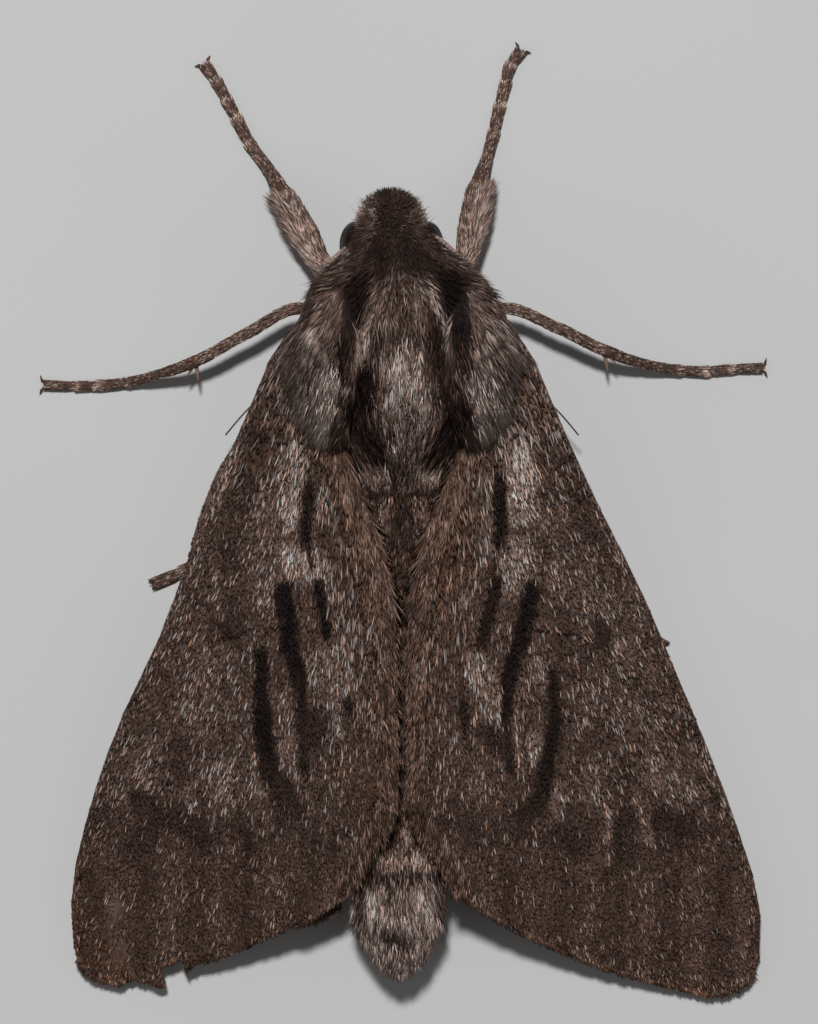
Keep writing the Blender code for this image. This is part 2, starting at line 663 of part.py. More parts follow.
def inside(point, loop):
    """Is a plan point inside a closed outline?"""
    x, y = point
    found = False
    for (x1, y1), (x2, y2) in zip(loop, np.roll(loop, -1, axis=0)):
        if (y1 > y) != (y2 > y) and x < (x2 - x1) * (y - y1) / (y2 - y1) + x1:
            found = not found
    return found


def distance_to_path(point, path):
    """Shortest distance from plan points to an open path."""
    start, step = path[:-1], np.diff(path, axis=0)
    share = np.clip(((point - start) * step).sum(1) / (step**2).sum(1), 0, 1)
    return float(np.linalg.norm(start + step * share[:, None] - point, axis=1).min())


def shifted_path(path, distance):
    """A path beside another, at a set distance on its left."""
    along = np.gradient(path, axis=0)
    along /= np.linalg.norm(along, axis=1)[:, None]
    return path + distance * np.stack([-along[:, 1], along[:, 0]], axis=1)


def wing_solid(name, loop, vein_paths, grid, height):
    """A curved sheet with veins raised on both faces, from its plan outline.

    Both faces share one triangulation, so that they can't cross.
    """
    points, edges = list(map(tuple, loop)), []
    count = len(loop)
    edges += [(i, (i + 1) % count) for i in range(count)]
    for path in vein_paths:
        for side in (-1, 0, 1):
            line = shifted_path(path, side * VEIN_HALF_WIDTH)
            line = [p for p in line if inside(p, loop)]
            base = len(points)
            points += [tuple(p) for p in line]
            edges += [(base + i, base + i + 1) for i in range(len(line) - 1)]
    for p in grid:
        clear = min(distance_to_path(p, path) for path in vein_paths) > 0.7
        if clear and inside(p, loop) and distance_to_path(p, np.vstack([loop, loop[:1]])) > 0.5:
            points.append(tuple(p))
    made = delaunay_2d_cdt([Vector(p) for p in points], edges, [], 0, 1e-5)
    plan = np.array([tuple(v) for v in made[0]])
    triangles = [f for f in made[2] if inside(plan[list(f)].mean(0), loop)]
    used = sorted({i for f in triangles for i in f})
    order = {old: new for new, old in enumerate(used)}
    triangles = [tuple(order[i] for i in f) for f in triangles]
    plan = plan[used]
    top, under = [], []
    for x, y in plan:
        near = min(distance_to_path(np.array([x, y]), path) for path in vein_paths)
        rib = VEIN_HEIGHT * max(0.0, 1 - near / VEIN_HALF_WIDTH)
        z = height(x, y)
        top.append((x, y, z + WING_THICKNESS / 2 + rib))
        under.append((x, y, z - WING_THICKNESS / 2 - rib))
    size = len(plan)
    faces = list(triangles) + [tuple(size + i for i in reversed(f)) for f in triangles]
    counted = {}
    for f in triangles:
        for a, b in zip(f, f[1:] + f[:1]):
            counted[(a, b)] = counted.get((a, b), 0) + 1
    for a, b in counted:
        if (b, a) not in counted:
            faces.append((b, a, size + a, size + b))
    return mesh_object(name, top + under, faces, "wing")


def outline(pieces, steps):
    """A closed outline from curves that follow each other end to end."""
    loop = []
    for piece, count in zip(pieces, steps):
        loop += list(curve_through(piece, np.linspace(0, 1, count, endpoint=False)))
    return np.array(loop)


def vein_paths(veins, at):
    paths = []
    for vein in veins:
        rough = np.array([at(s, t) for s, t in curve_through(vein, np.linspace(0, 1, 12))])
        length = np.linalg.norm(np.diff(rough, axis=0), axis=1).sum()
        paths.append(curve_through(rough, np.linspace(0, 1, max(3, round(length / VEIN_STEP) + 1))))
    return paths


def left_forewing_plan(point):
    """A right forewing's plan point, moved to where the left wing has it."""
    x, y = point
    share = min(1.0, max(0.0, (0.0 - y) / 15.0))
    aside = min(1.0, x / edge_x(y))
    return np.array([-x * (1 - LEFT_NARROWER * share), y + LEFT_RAISED * share * aside])


def make_forewing(side):
    margin = np.array(list(curve_through(APEX, np.linspace(0, 1, 6))[:-1])
                      + list(curve_through(OUTER, np.linspace(0, 1, 10))))
    at = patch(COSTA, margin, INNER)
    loop = outline((COSTA, APEX, OUTER, INNER[::-1]), (17, 5, 10, 15))
    paths = vein_paths(FORE_VEINS, at)
    grid = [at(s, t) for s in spaced(0.08, 0.95, 9) for t in spaced(0.08, 0.92, 6)]
    if side < 0:
        loop = np.array([left_forewing_plan(p) for p in loop])
        near = [i for i, p in enumerate(loop)
                if LEFT_NOTCH[0][0] - 0.2 < p[0] < LEFT_NOTCH[-1][0] + 0.2 and p[1] < -15.5]
        notch = np.array(LEFT_NOTCH)
        loop = np.vstack([loop[:near[0]], notch, loop[near[-1] + 1:]]) if near else loop
        paths = [np.array([left_forewing_plan(p) for p in path]) for path in paths]
        grid = [left_forewing_plan(p) for p in grid]
    name = "forewing_right" if side > 0 else "forewing_left"
    wing = wing_solid(name, loop, paths, grid, roof)
    return boolean(wing, [room_round("thorax")], "DIFFERENCE")


def make_hindwing(side):
    plan = HIND_RIGHT if side > 0 else HIND_LEFT
    at = patch(plan["costa"], plan["outer"], plan["inner"])
    loop = outline((plan["costa"], plan["outer"], plan["inner"][::-1]), (12, 8, 9))
    paths = vein_paths(HIND_VEINS, at)
    grid = [at(s, t) for s in spaced(0.1, 0.92, 6) for t in spaced(0.12, 0.9, 5)]
    mirror = np.array([side, 1.0])
    name = "hindwing_right" if side > 0 else "hindwing_left"
    wing = wing_solid(
        name,
        loop * mirror,
        [path * mirror for path in paths],
        [p * mirror for p in grid],
        lambda x, y: roof(x, y) - HIND_DROP,
    )
    return boolean(wing, [room_round("thorax"), room_round("abdomen")], "DIFFERENCE")


def make_legs():
    spur_right, spur_left = (0.15, -0.85, -0.35), (0.1, -0.8, -0.35)
    make_leg("foreleg_right", FORELEG_RIGHT, (), 1.0, leg_locks(FORELEG_RIGHT, 1))
    make_leg("foreleg_left", FORELEG_LEFT, (), -1.0, leg_locks(FORELEG_LEFT, -1))
    make_leg("midleg_right", MIDLEG_RIGHT, ((4, spur_right),), -1.0)
    make_leg("midleg_left", MIDLEG_LEFT, ((4, spur_left),), 1.0)
    make_leg("hindleg_right", HINDLEG_RIGHT, ((4, (0.5, -0.75, -0.15)),), -1.0)
    make_leg("hindleg_left", HINDLEG_LEFT, ((4, (-0.4, -0.75, -0.15)),), 1.0)


def main():
    clear_scene()
    make_thorax()
    make_head()
    make_abdomen()
    make_legs()
    for side in (-1, 1):
        make_eye(side)
        make_palp(side)
        make_antenna(side)
        make_tegula(side)
        make_forewing(side)
        make_hindwing(side)


main()
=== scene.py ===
"""The looks of a resting northern pine sphinx moth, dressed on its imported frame.

Positions are in millimetres in the frame's own axes and turned into metres when a mesh is made.
Markings are painted in code by strokes, whose ends are given on the plan in marking units:
one unit is UNIT mm, x grows to the moth's right and y grows to its tail.
"""

import bmesh
import bpy
import numpy as np
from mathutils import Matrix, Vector


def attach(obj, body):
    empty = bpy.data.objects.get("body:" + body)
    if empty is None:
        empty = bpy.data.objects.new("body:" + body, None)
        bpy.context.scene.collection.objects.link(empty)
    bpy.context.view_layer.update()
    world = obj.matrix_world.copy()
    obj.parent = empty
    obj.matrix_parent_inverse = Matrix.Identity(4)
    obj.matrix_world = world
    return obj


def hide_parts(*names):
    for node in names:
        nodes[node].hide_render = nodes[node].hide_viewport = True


MM = 0.001  # metres
UNIT = 0.03647  # mm
CENTRE_X, CENTRE_Y = 402.0, 518.5  # the frame's origin on the plan
VIEW_X, VIEW_Y = 409.0, 512.0  # the plan's own middle
VIEW_HEIGHT, VIEW_DISTANCE = 220.4, 217.9  # mm, from where the plan is drawn
WING_ROOT, WING_RUN = 430, 560  # where the forewings' marks start, and how far they run
WAIST = 458  # where the thorax's marks meet the abdomen's
SIDES = ((-1, "left"), (1, "right"))
rng = np.random.default_rng(11)  # gives every random draw, in a fixed order

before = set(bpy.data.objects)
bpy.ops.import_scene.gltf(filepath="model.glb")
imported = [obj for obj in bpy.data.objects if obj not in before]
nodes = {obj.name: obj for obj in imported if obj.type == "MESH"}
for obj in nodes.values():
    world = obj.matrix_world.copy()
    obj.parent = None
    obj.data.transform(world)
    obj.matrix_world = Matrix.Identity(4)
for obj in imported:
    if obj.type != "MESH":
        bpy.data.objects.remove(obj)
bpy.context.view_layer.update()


# Colours from black-brown through grey-brown to the white of the palest scales

TONES = np.array([0.0, 0.15, 0.32, 0.5, 0.7, 1.0])
COLOURS = np.array([
    (0.010, 0.006, 0.005), (0.045, 0.027, 0.022), (0.115, 0.076, 0.062),
    (0.235, 0.172, 0.148), (0.40, 0.33, 0.30), (0.66, 0.61, 0.58),
])
RUST = np.array([0.30, 0.135, 0.07])


def shade(tone, rust=0.0):
    """Linear colours for tones from 0 to 1, tinted towards rust."""
    tone = np.clip(tone, 0, 1)
    colour = np.stack([np.interp(tone, TONES, COLOURS[:, i]) for i in range(3)], axis=-1)
    rust = np.broadcast_to(np.asarray(rust, float), tone.shape)[..., None]
    level = colour.mean(-1, keepdims=True)
    return colour * (1 - rust) + rust * RUST / RUST.mean() * level


def plan_units(points):
    """Marking units of points in millimetres, on a plan drawn from above."""
    wider = VIEW_DISTANCE / (VIEW_HEIGHT - points[:, 2])
    x, y = points[:, 0] / UNIT + CENTRE_X, CENTRE_Y - points[:, 1] / UNIT
    return VIEW_X + (x - VIEW_X) * wider, VIEW_Y + (y - VIEW_Y) * wider


def painted(x, y, base, strokes, soft=0.45):
    """Tone after painting strokes (x1, y1, x2, y2, half width, tone, weight) over a base."""
    tone = np.array(np.broadcast_to(base, x.shape), float)
    wobble = 3.0 * np.sin(x * 0.21 + 1.3 * np.sin(y * 0.13)) + 2.0 * np.sin(y * 0.31 + x * 0.17)
    for x1, y1, x2, y2, half, level, weight in strokes:
        dx, dy = x2 - x1, y2 - y1
        along = np.clip(((x - x1) * dx + (y - y1) * dy) / max(1e-6, dx * dx + dy * dy), 0, 1)
        away = np.hypot(x - x1 - along * dx, y - y1 - along * dy) + wobble * min(1.0, half / 18)
        cover = np.clip((half * (1 + soft) - away) / (2 * half * soft), 0, 1)
        cover = weight * cover * cover * (3 - 2 * cover)
        tone = tone * (1 - cover) + level * cover
    return tone


# Strokes on the head and thorax, seen from above

BODY_STROKES = (
    (402, 300, 402, 440, 120, 0.33, 1), (300, 350, 292, 390, 28, 0.52, 0.9),
    (502, 345, 510, 390, 28, 0.58, 0.9), (322, 306, 316, 316, 22, 0.31, 0.8),
    (484, 304, 490, 316, 22, 0.38, 0.8), (392, 200, 396, 240, 48, 0.24, 1),
    (390, 190, 396, 240, 14, 0.13, 0.9), (345, 277, 402, 256, 19, 0.14, 1),
    (402, 256, 460, 277, 19, 0.14, 1), (380, 262, 426, 262, 15, 0.11, 1),
    (330, 296, 350, 282, 14, 0.26, 0.8), (482, 296, 460, 282, 14, 0.24, 0.8),
    (365, 198, 369, 226, 8, 0.46, 0.85), (418, 200, 416, 222, 7, 0.44, 0.85),
    (361, 206, 357, 232, 3, 0.62, 0.9), (424, 208, 430, 226, 3, 0.58, 0.9),
    (358, 242, 338, 258, 4, 0.66, 0.9), (438, 238, 458, 256, 4, 0.6, 0.9),
    (338, 258, 316, 284, 3, 0.5, 0.8), (458, 256, 476, 274, 3, 0.45, 0.8),
    (404, 312, 406, 360, 28, 0.36, 1), (357, 290, 348, 348, 12, 0.02, 1), (454, 286, 461, 345, 13, 0, 1),
    (344, 345, 341, 376, 8, 0.14, 0.8), (465, 345, 468, 378, 8, 0.14, 0.8),
    (374, 299, 369, 330, 5, 0.54, 1), (368, 330, 360, 376, 6, 0.52, 1), (434, 294, 439, 320, 5, 0.64, 1),
    (439, 320, 448, 364, 4.5, 0.6, 1), (447, 364, 454, 384, 5, 0.42, 0.9), (454, 288, 457, 340, 6, 0, 1),
    (378, 343, 383, 371, 5, 0.14, 0.9), (434, 334, 436, 374, 6, 0.1, 1), (367, 382, 364, 430, 10, 0.02, 1),
    (446, 380, 450, 430, 12, 0.19, 1), (352, 416, 388, 462, 11, 0.07, 1),
    (464, 420, 424, 462, 12, 0.09, 1), (404, 378, 407, 408, 20, 0.8, 1),
    (406, 412, 406, 448, 13, 0.5, 0.9), (329, 384, 317, 440, 11, 0.92, 0.9),
    (312, 380, 302, 430, 9, 0.72, 0.8), (478, 386, 490, 440, 9, 0.84, 0.9),
    (500, 385, 508, 430, 9, 0.7, 0.8),
)

# Strokes on the back of the abdomen

ABDOMEN_STROKES = (
    (402, 460, 402, 980, 60, 0.31, 1), (402, 835, 402, 980, 52, 0.4, 0.9), (374, 482, 428, 482, 9, 0.5, 1),
    (372, 499, 430, 499, 4, 0.1, 0.9), (404, 516, 402, 600, 13, 0.2, 1), (391, 509, 384, 532, 7, 0.5, 0.9),
    (419, 509, 424, 526, 7, 0.5, 0.9), (384, 604, 420, 604, 30, 0.27, 0.6),
    (391, 551, 399, 555, 2.5, 0.04, 0.9), (409, 554, 417, 551, 2.5, 0.04, 0.9),
    (375, 826, 384, 856, 12, 0.44, 1), (390, 815, 392, 858, 5, 0.18, 0.9),
    (409, 822, 418, 850, 9, 0.56, 0.9), (356, 874, 380, 868, 8, 0.76, 1), (380, 868, 424, 868, 8, 0.68, 1),
    (424, 868, 446, 872, 8, 0.76, 1), (354, 886, 402, 881, 4, 0.12, 0.9),
    (402, 881, 446, 880, 4, 0.12, 0.9), (354, 902, 442, 902, 11, 0.5, 1),
    (372, 903, 376, 925, 6, 0.8, 0.9), (350, 895, 355, 930, 6, 0.64, 0.9),
    (380, 922, 404, 928, 9, 0.82, 0.95), (420, 912, 432, 930, 8, 0.78, 0.9),
    (362, 900, 364, 930, 4, 0.2, 0.8), (437, 892, 438, 925, 4, 0.24, 0.8),
    (382, 955, 420, 955, 18, 0.64, 1), (390, 938, 400, 946, 7, 0.28, 0.8),
    (404, 966, 408, 976, 8, 0.62, 1),
)

# Strokes on the forewings' upper faces

WING_STROKES = (
    # Left wing: the pale areas, then the dark ones
    (292, 450, 292, 508, 15, 0.72, 0.95), (268, 505, 272, 590, 17, 0.44, 0.8),
    (296, 558, 320, 568, 15, 0.8, 1), (318, 490, 333, 514, 7, 0.5, 0.8),
    (334, 652, 338, 692, 15, 0.53, 0.9), (312, 655, 314, 700, 7, 0.47, 0.8),
    (337, 703, 338, 734, 5, 0.52, 0.9), (284, 700, 286, 770, 10, 0.5, 0.8),
    (258, 752, 262, 790, 7, 0.52, 0.8), (224, 766, 226, 800, 10, 0.55, 0.9),
    (192, 784, 192, 806, 7, 0.5, 0.8), (146, 750, 142, 790, 14, 0.44, 0.8),
    (210, 660, 200, 720, 22, 0.4, 0.7), (212, 806, 216, 846, 4, 0.48, 0.6),
    (262, 430, 224, 560, 11, 0.21, 0.9), (556, 440, 594, 540, 10, 0.23, 0.8),
    (236, 446, 214, 500, 4, 0.5, 0.7), (212, 505, 196, 560, 3, 0.42, 0.6),
    (110, 902, 112, 912, 9, 0.46, 0.8), (120, 938, 128, 968, 7, 0.42, 0.7),
    (140, 930, 142, 960, 4, 0.4, 0.6), (310, 482, 306, 538, 6, 0.03, 1),
    (307, 540, 312, 560, 3, 0.12, 0.8), (318, 578, 328, 631, 5.5, 0.03, 1), (282, 588, 291, 642, 10, 0, 1),
    (289, 642, 301, 678, 8, 0, 1), (301, 678, 303, 712, 6, 0.05, 1), (303, 712, 306, 768, 5, 0.07, 0.9),
    (316, 708, 314, 736, 11, 0.12, 0.8), (262, 652, 263, 708, 7, 0.01, 1), (263, 708, 270, 764, 10, 0, 1),
    (270, 764, 284, 794, 12, 0.06, 0.9), (348, 698, 350, 712, 4.5, 0.06, 1),
    (224, 624, 234, 634, 9, 0.12, 0.8), (242, 630, 230, 600, 6, 0.2, 0.5),
    (142, 800, 160, 820, 12, 0.13, 0.85), (186, 818, 204, 836, 13, 0.13, 0.85),
    (240, 832, 252, 846, 9, 0.13, 0.8), (284, 790, 300, 806, 9, 0.14, 0.7),
    # Right wing, in the same order
    (516, 444, 520, 508, 16, 0.74, 0.95), (482, 462, 488, 560, 9, 0.46, 0.8),
    (512, 546, 514, 582, 15, 0.7, 0.9), (540, 566, 598, 612, 14, 0.42, 0.8),
    (478, 664, 496, 712, 13, 0.57, 0.9), (536, 660, 540, 682, 8, 0.48, 0.8),
    (535, 733, 536, 756, 7, 0.58, 0.9), (515, 712, 516, 764, 4.5, 0.52, 0.9),
    (556, 780, 558, 812, 6, 0.52, 0.8), (590, 764, 592, 794, 10, 0.46, 0.8),
    (605, 804, 607, 862, 3.5, 0.54, 0.8), (636, 792, 648, 836, 6, 0.48, 0.8),
    (650, 766, 682, 792, 13, 0.48, 0.85), (618, 640, 640, 660, 12, 0.42, 0.7),
    (700, 792, 706, 812, 6, 0.42, 0.7), (470, 560, 452, 610, 11, 0.42, 0.6),
    (590, 690, 640, 730, 22, 0.38, 0.6), (478, 776, 482, 788, 10, 0.42, 0.7),
    (499, 476, 500, 540, 6.5, 0.03, 1), (498, 550, 492, 568, 3.5, 0.1, 0.8),
    (496, 578, 482, 640, 6, 0.05, 1), (531, 588, 518, 642, 9, 0, 1), (518, 642, 509, 680, 8, 0, 1),
    (509, 680, 506, 716, 6, 0.03, 1), (507, 716, 510, 766, 4.5, 0.08, 0.9),
    (486, 728, 502, 744, 11, 0.12, 0.85), (463, 700, 463, 722, 5, 0.07, 1),
    (552, 670, 554, 716, 5.5, 0.03, 1), (554, 716, 547, 764, 7, 0.02, 1), (547, 764, 539, 800, 8, 0.04, 1),
    (539, 800, 522, 812, 9, 0.1, 0.9), (602, 626, 602, 642, 8, 0.13, 0.8),
    (562, 832, 578, 850, 9, 0.12, 0.8), (622, 820, 630, 860, 10, 0.14, 0.8),
    (660, 816, 686, 824, 11, 0.12, 0.85), (680, 720, 692, 736, 12, 0.2, 0.7),
)
# Where the forewings' scales are worn away
WORN_STROKES = (
    (190, 968, 296, 932, 7, 0.9, 1), (116, 905, 112, 925, 9, 0.75, 1), (124, 940, 126, 968, 8, 0.7, 1),
    (106, 960, 130, 975, 8, 0.6, 1), (247, 455, 258, 456, 6, 0.8, 1), (272, 444, 276, 456, 7, 0.8, 1),
    (100, 850, 98, 880, 9, 0.35, 1), (300, 900, 336, 890, 10, 0.6, 1), (560, 402, 564, 412, 4, 0.7, 1),
)
# Where the forewings are rustier
RUST_STROKES = (
    (360, 470, 378, 590, 24, 0.62, 1), (450, 470, 436, 580, 22, 0.66, 1),
    (402, 640, 402, 800, 40, 0.45, 0.8), (247, 455, 258, 457, 4, 0.8, 1), (270, 446, 276, 447, 3, 0.7, 1),
    (532, 388, 540, 400, 4, 0.8, 1), (84, 940, 130, 982, 12, 0.6, 0.9), (80, 860, 78, 930, 8, 0.45, 0.9),
)


def wing_tone(x, y):
    """Tone of the forewings' upper faces: browner behind, with a toothed dark line across."""
    span = np.clip((y - WING_ROOT) / WING_RUN, 0, 1)
    aside = np.abs(x - CENTRE_X) / 340
    from_band = (x - CENTRE_X) * np.sign(x - CENTRE_X) - 60 - 0.42 * (y - 380)
    base = 0.335 - 0.055 * span - 0.05 * np.exp(-from_band ** 2 / 400)
    tooth = 832 + 16 * np.sin(aside * 34) - 40 * (aside - 0.5) ** 2
    base = base - 0.07 * np.exp(-((y - tooth) / 20) ** 2)
    tone = painted(x, y, base, WING_STROKES)
    outer = np.clip((y - 842 - 8 * np.sin(aside * 40)) / 40, 0, 1)
    keep = np.clip((0.46 - tone) * 8, 0, 1)
    return tone * (1 - outer * keep) + (0.268 + 0.05 * np.sin(x * 0.12)) * outer * keep


def body_tone(points):
    """Tone of the body: the strokes above, a plainer grey-brown beneath."""
    x, y = plan_units(points)
    thorax = painted(x, y, 0.3, BODY_STROKES)
    abdomen = painted(x, y, 0.3, ABDOMEN_STROKES)
    share = np.clip((y - WAIST) / 10, 0, 1)
    return thorax * (1 - share) + abdomen * share


# Small helpers for numbers, directions and curves

def unit(vectors):
    return vectors / np.maximum(1e-12, np.linalg.norm(vectors, axis=-1, keepdims=True))


def rows(*columns):
    """Rows from columns, each an array or one number for all."""
    return np.stack(np.broadcast_arrays(*columns), 1)


def circle(count):
    """Angles spread evenly round a circle."""
    return 2 * np.pi * np.arange(count) / count


def ramp(values, start, end):
    """0 at start and 1 at end, straight between."""
    return np.clip((values - start) / (end - start), 0, 1)


def hump(values, centre, width):
    """1 at the centre, falling away smoothly on both sides."""
    return np.exp(-((values - centre) / width) ** 2)


def cloud(u, v, seed=3):
    """Smooth uneven values from 0 to 1, about one change for each unit."""
    grid = np.random.default_rng(seed).random((64, 64))
    i, j = np.floor(u).astype(int), np.floor(v).astype(int)
    a, b = u - i, v - j
    a, b = a * a * (3 - 2 * a), b * b * (3 - 2 * b)
    low = grid[i % 64, j % 64] * (1 - a) + grid[(i + 1) % 64, j % 64] * a
    high = grid[i % 64, (j + 1) % 64] * (1 - a) + grid[(i + 1) % 64, (j + 1) % 64] * a
    return low * (1 - b) + high * b


def flecked(mean, pale_share, dark=(0.35, 1.0), pale=(0.6, 1.05)):
    """Tones of single tufts about a mean: mostly darker, some much paler."""
    count = len(mean)
    tone = mean * rng.uniform(*dark, count) * 1.15
    bright = rng.random(count) < pale_share * np.clip(mean - 0.12, 0, 1)
    return np.where(bright, (0.3 + 0.95 * mean) * rng.uniform(*pale, count), tone)


def smooth_between(at, knots, slopes, places):
    """Values at places along a curve that passes each knot at its slope."""
    i = np.clip(np.searchsorted(at, places, side="right") - 1, 0, len(at) - 2)
    span = (at[i + 1] - at[i])[:, None]
    u = (places - at[i])[:, None] / span
    return (
        (2 * u**3 - 3 * u**2 + 1) * knots[i]
        + (u**3 - 2 * u**2 + u) * span * slopes[i]
        + (3 * u**2 - 2 * u**3) * knots[i + 1]
        + (u**3 - u**2) * span * slopes[i + 1]
    )


def curve_through(knots, places):
    """Points on the smooth curve through some points, at places from 0 to 1 of its length."""
    chords = np.linalg.norm(np.diff(knots[:, :3], axis=0), axis=1)
    at = np.concatenate([[0.0], np.cumsum(chords)]) / chords.sum()
    return smooth_between(at, knots, np.gradient(knots, at, axis=0), places)


# Meshes

def new_object(name, finish, mesh):
    """A piece that rides on the frame, with its finish."""
    mesh.materials.append(finish)
    obj = bpy.data.objects.new(name, mesh)
    bpy.context.scene.collection.objects.link(obj)
    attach(obj, "root")
    return obj


def triangle_mesh(name, points, faces, colours=None, uvs=None):
    """A mesh from arrays of points in millimetres, triangles, point colours and point UVs."""
    mesh = bpy.data.meshes.new(name)
    mesh.vertices.add(len(points))
    mesh.vertices.foreach_set("co", (points * MM).ravel())
    mesh.loops.add(faces.size)
    mesh.loops.foreach_set("vertex_index", faces.ravel())
    mesh.polygons.add(len(faces))
    mesh.polygons.foreach_set("loop_start", np.arange(0, faces.size, 3))
    mesh.update(calc_edges=True)
    if colours is not None:
        tint = mesh.color_attributes.new("tint", "FLOAT_COLOR", "POINT")
        rgba = np.ones((len(points), 4))
        rgba[:, :3] = colours
        tint.data.foreach_set("color", rgba.ravel())
    if uvs is not None:
        layer = mesh.uv_layers.new(name="OFBake")
        layer.data.foreach_set("uv", uvs[faces.ravel()].ravel())
    mesh.shade_smooth()
    return mesh


def skin_object(name, slot, finish, points, faces, colours=None):
    return new_object(name, finish, triangle_mesh(name, points, faces, colours))


def lofted(rings):
    """Points and triangles of a closed body through rings of equal size."""
    rings = np.asarray(rings)
    count, size = rings.shape[:2]
    points = np.vstack([rings.reshape(-1, 3), rings[0].mean(0), rings[-1].mean(0)])
    k = np.arange(size)
    n = (k + 1) % size
    faces = []
    for r in range(count - 1):
        a, b = r * size + k, r * size + n
        faces += [rows(a, b + size, b), rows(a, a + size, b + size)]
    first, end = count * size, (count - 1) * size
    faces += [rows(k, n, first), rows(end + n, end + k, first + 1)]
    return points, np.vstack(faces)


def crosses(points, faces):
    """Each triangle's normal, twice as long as its area."""
    a, b, c = (points[faces[:, k]] for k in range(3))
    return np.cross(b - a, c - a)


def sampled(points, faces, count, keep=1.0):
    """Random places on a surface, even by area times keep, and the normals there."""
    cross = crosses(points, faces)
    area = np.linalg.norm(cross, axis=1) / 2 * keep
    pick = np.searchsorted(np.cumsum(area) / area.sum(), rng.random(count))
    pick = np.minimum(pick, len(faces) - 1)
    a, b = rng.random((2, count))
    flip = a + b > 1
    a[flip], b[flip] = 1 - a[flip], 1 - b[flip]
    c = points[faces[pick]]
    place = c[:, 0] + a[:, None] * (c[:, 1] - c[:, 0]) + b[:, None] * (c[:, 2] - c[:, 0])
    return place, unit(cross[pick])


def tangent(direction, normal):
    """A direction laid flat on the surface."""
    return unit(direction - (direction * normal).sum(-1, keepdims=True) * normal)


# Each kind of tuft: its triangles, how far along and across its points lie, and the painted shade and light
# on them, darker at the root and lighter at the tip.
# A hair has three points at its root, three halfway and a tip. A scale has four corners and a crown.
HAIR = (
    np.array([face for k in range(3) for n in [(k + 1) % 3]
              for face in ((k, n, 3 + n), (k, 3 + n, 3 + k), (3 + k, 3 + n, 6))] + [(2, 1, 0)]),
    np.array([0.0] * 3 + [0.5] * 3 + [1.0]),
    np.array([-0.5, 0.5, 0.0] * 2 + [0.0]),
    # painted shade at the hair's root and painted light at its tip
    np.array([0.7] * 3 + [1.0] * 3 + [1.15]),
)
SCALE_OUTLINE = ((0.0, -0.3), (0.0, 0.3), (0.9, 0.5), (1.0, -0.3))
FLAT_SCALE = (
    np.array([(k, (k + 1) % 4, 4) for k in range(4)] + [(0, 3, 1), (1, 3, 2)]),
    np.array([p[0] for p in SCALE_OUTLINE] + [0.55]),
    np.array([p[1] for p in SCALE_OUTLINE] + [0.0]),
    # painted shade at the scale's root corners and painted light at its tip
    np.array([0.75, 0.75, 1.05, 1.1, 0.95]),
)
LARGEST_PIECE = 150000  # triangles
PATCH = 0.0015  # a tuft's size on the map
BATCH = 4000  # places measured at a time


def leaving(lie, normal, least, most=0.95):
    """Headings and lifts of tufts that point along a lie and still leave the surface."""
    lie = unit(lie)
    rise = np.clip((lie * normal).sum(1) + 0.1, least, most)
    return tangent(lie, normal), np.arcsin(rise)


def per_tuft(count, *values):
    """Columns with one value for each tuft."""
    return [np.broadcast_to(value, count)[:, None] for value in values]


def frames(normal, heading, lift):
    """The side, outward and upper directions of tufts that rise from a surface."""
    side = unit(np.cross(heading, normal))
    out = heading * np.cos(lift) + normal * np.sin(lift)
    over = unit(np.cross(side, out))
    over = np.where((over * normal).sum(-1, keepdims=True) < 0, -over, over)
    return side, out, over


def tuft_pieces(name, finish, points, kind, tone, rust, uv):
    """Tufts of one kind, as closed meshes below the largest size."""
    faces, reach, across, painted_shading = kind
    count, size = points.shape[:2]
    # each tuft's colour is scaled by painted shade and light, darker at the root and lighter at the tip
    colours = shade(tone, rust)[:, None, :] * painted_shading[None, :, None]
    patches = uv[:, None, :] + PATCH * rows(across, reach - 0.5)
    step = LARGEST_PIECE // len(faces)
    for start in range(0, count, step):
        part = slice(start, min(count, start + step))
        some = part.stop - part.start
        many = (faces[None] + size * np.arange(some)[:, None, None]).reshape(-1, 3)
        label = name if count <= step else f"{name}_{start // step + 1}"
        mesh = triangle_mesh(label, points[part].reshape(-1, 3), many,
                             colours[part].reshape(-1, 3), patches[part].reshape(-1, 2))
        new_object(label, finish, mesh)


def hairs(name, finish, base, normal, heading, length, width, lift, tone, rust, uv,
          droop=0.12, curl=0.0, sink=0.02):
    """A coat of single tapered hairs."""
    count = len(base)
    base = base - normal * sink
    length, width, lift = per_tuft(count, length, width, lift)
    side, out, over = frames(normal, heading, lift)
    bend = curl * rng.normal(0, 1, (count, 1))
    points = np.zeros((count, 7, 3))
    for ring, (along, wide) in enumerate(((0.0, 0.8), (0.5, 1.0))):
        centre = base + length * (along * out + along**2 * (bend * side - droop * over))
        for k, (s, o) in enumerate(((-0.5, -0.15), (0.5, -0.15), (0.0, 0.28))):
            points[:, 3 * ring + k] = centre + width * wide * (s * side + o * over)
    points[:, 6] = base + length * (out + bend * side - droop * over)
    tuft_pieces(name, finish, points, HAIR, tone, rust, uv)


def scales(name, finish, base, normal, heading, length, width, lift, tone, rust, uv):
    """A covering of thin overlapping scales."""
    count = len(base)
    length, width, lift = per_tuft(count, length, width, lift)
    side, out, over = frames(normal, heading, lift)
    points = np.zeros((count, 5, 3))
    base = base + 0.006 * normal
    for k, (along, across) in enumerate(SCALE_OUTLINE):
        points[:, k] = base + length * along * out + width * across * side
    points[:, 4] = base + 0.55 * length * out + 0.010 * over
    tuft_pieces(name, finish, points, FLAT_SCALE, tone, rust, uv)


# Materials

def set_inputs(made, node, values, feeds):
    """Sets some of a node's inputs, and feeds others from outputs of other nodes."""
    for key, value in values.items():
        node.inputs[key].default_value = value
    for key, (source, output) in feeds.items():
        made.node_tree.links.new(source.outputs[output], node.inputs[key])
    return node


def material(name):
    made = bpy.data.materials.new(name)
    made.use_nodes = True
    return made, made.node_tree.nodes["Principled BSDF"]


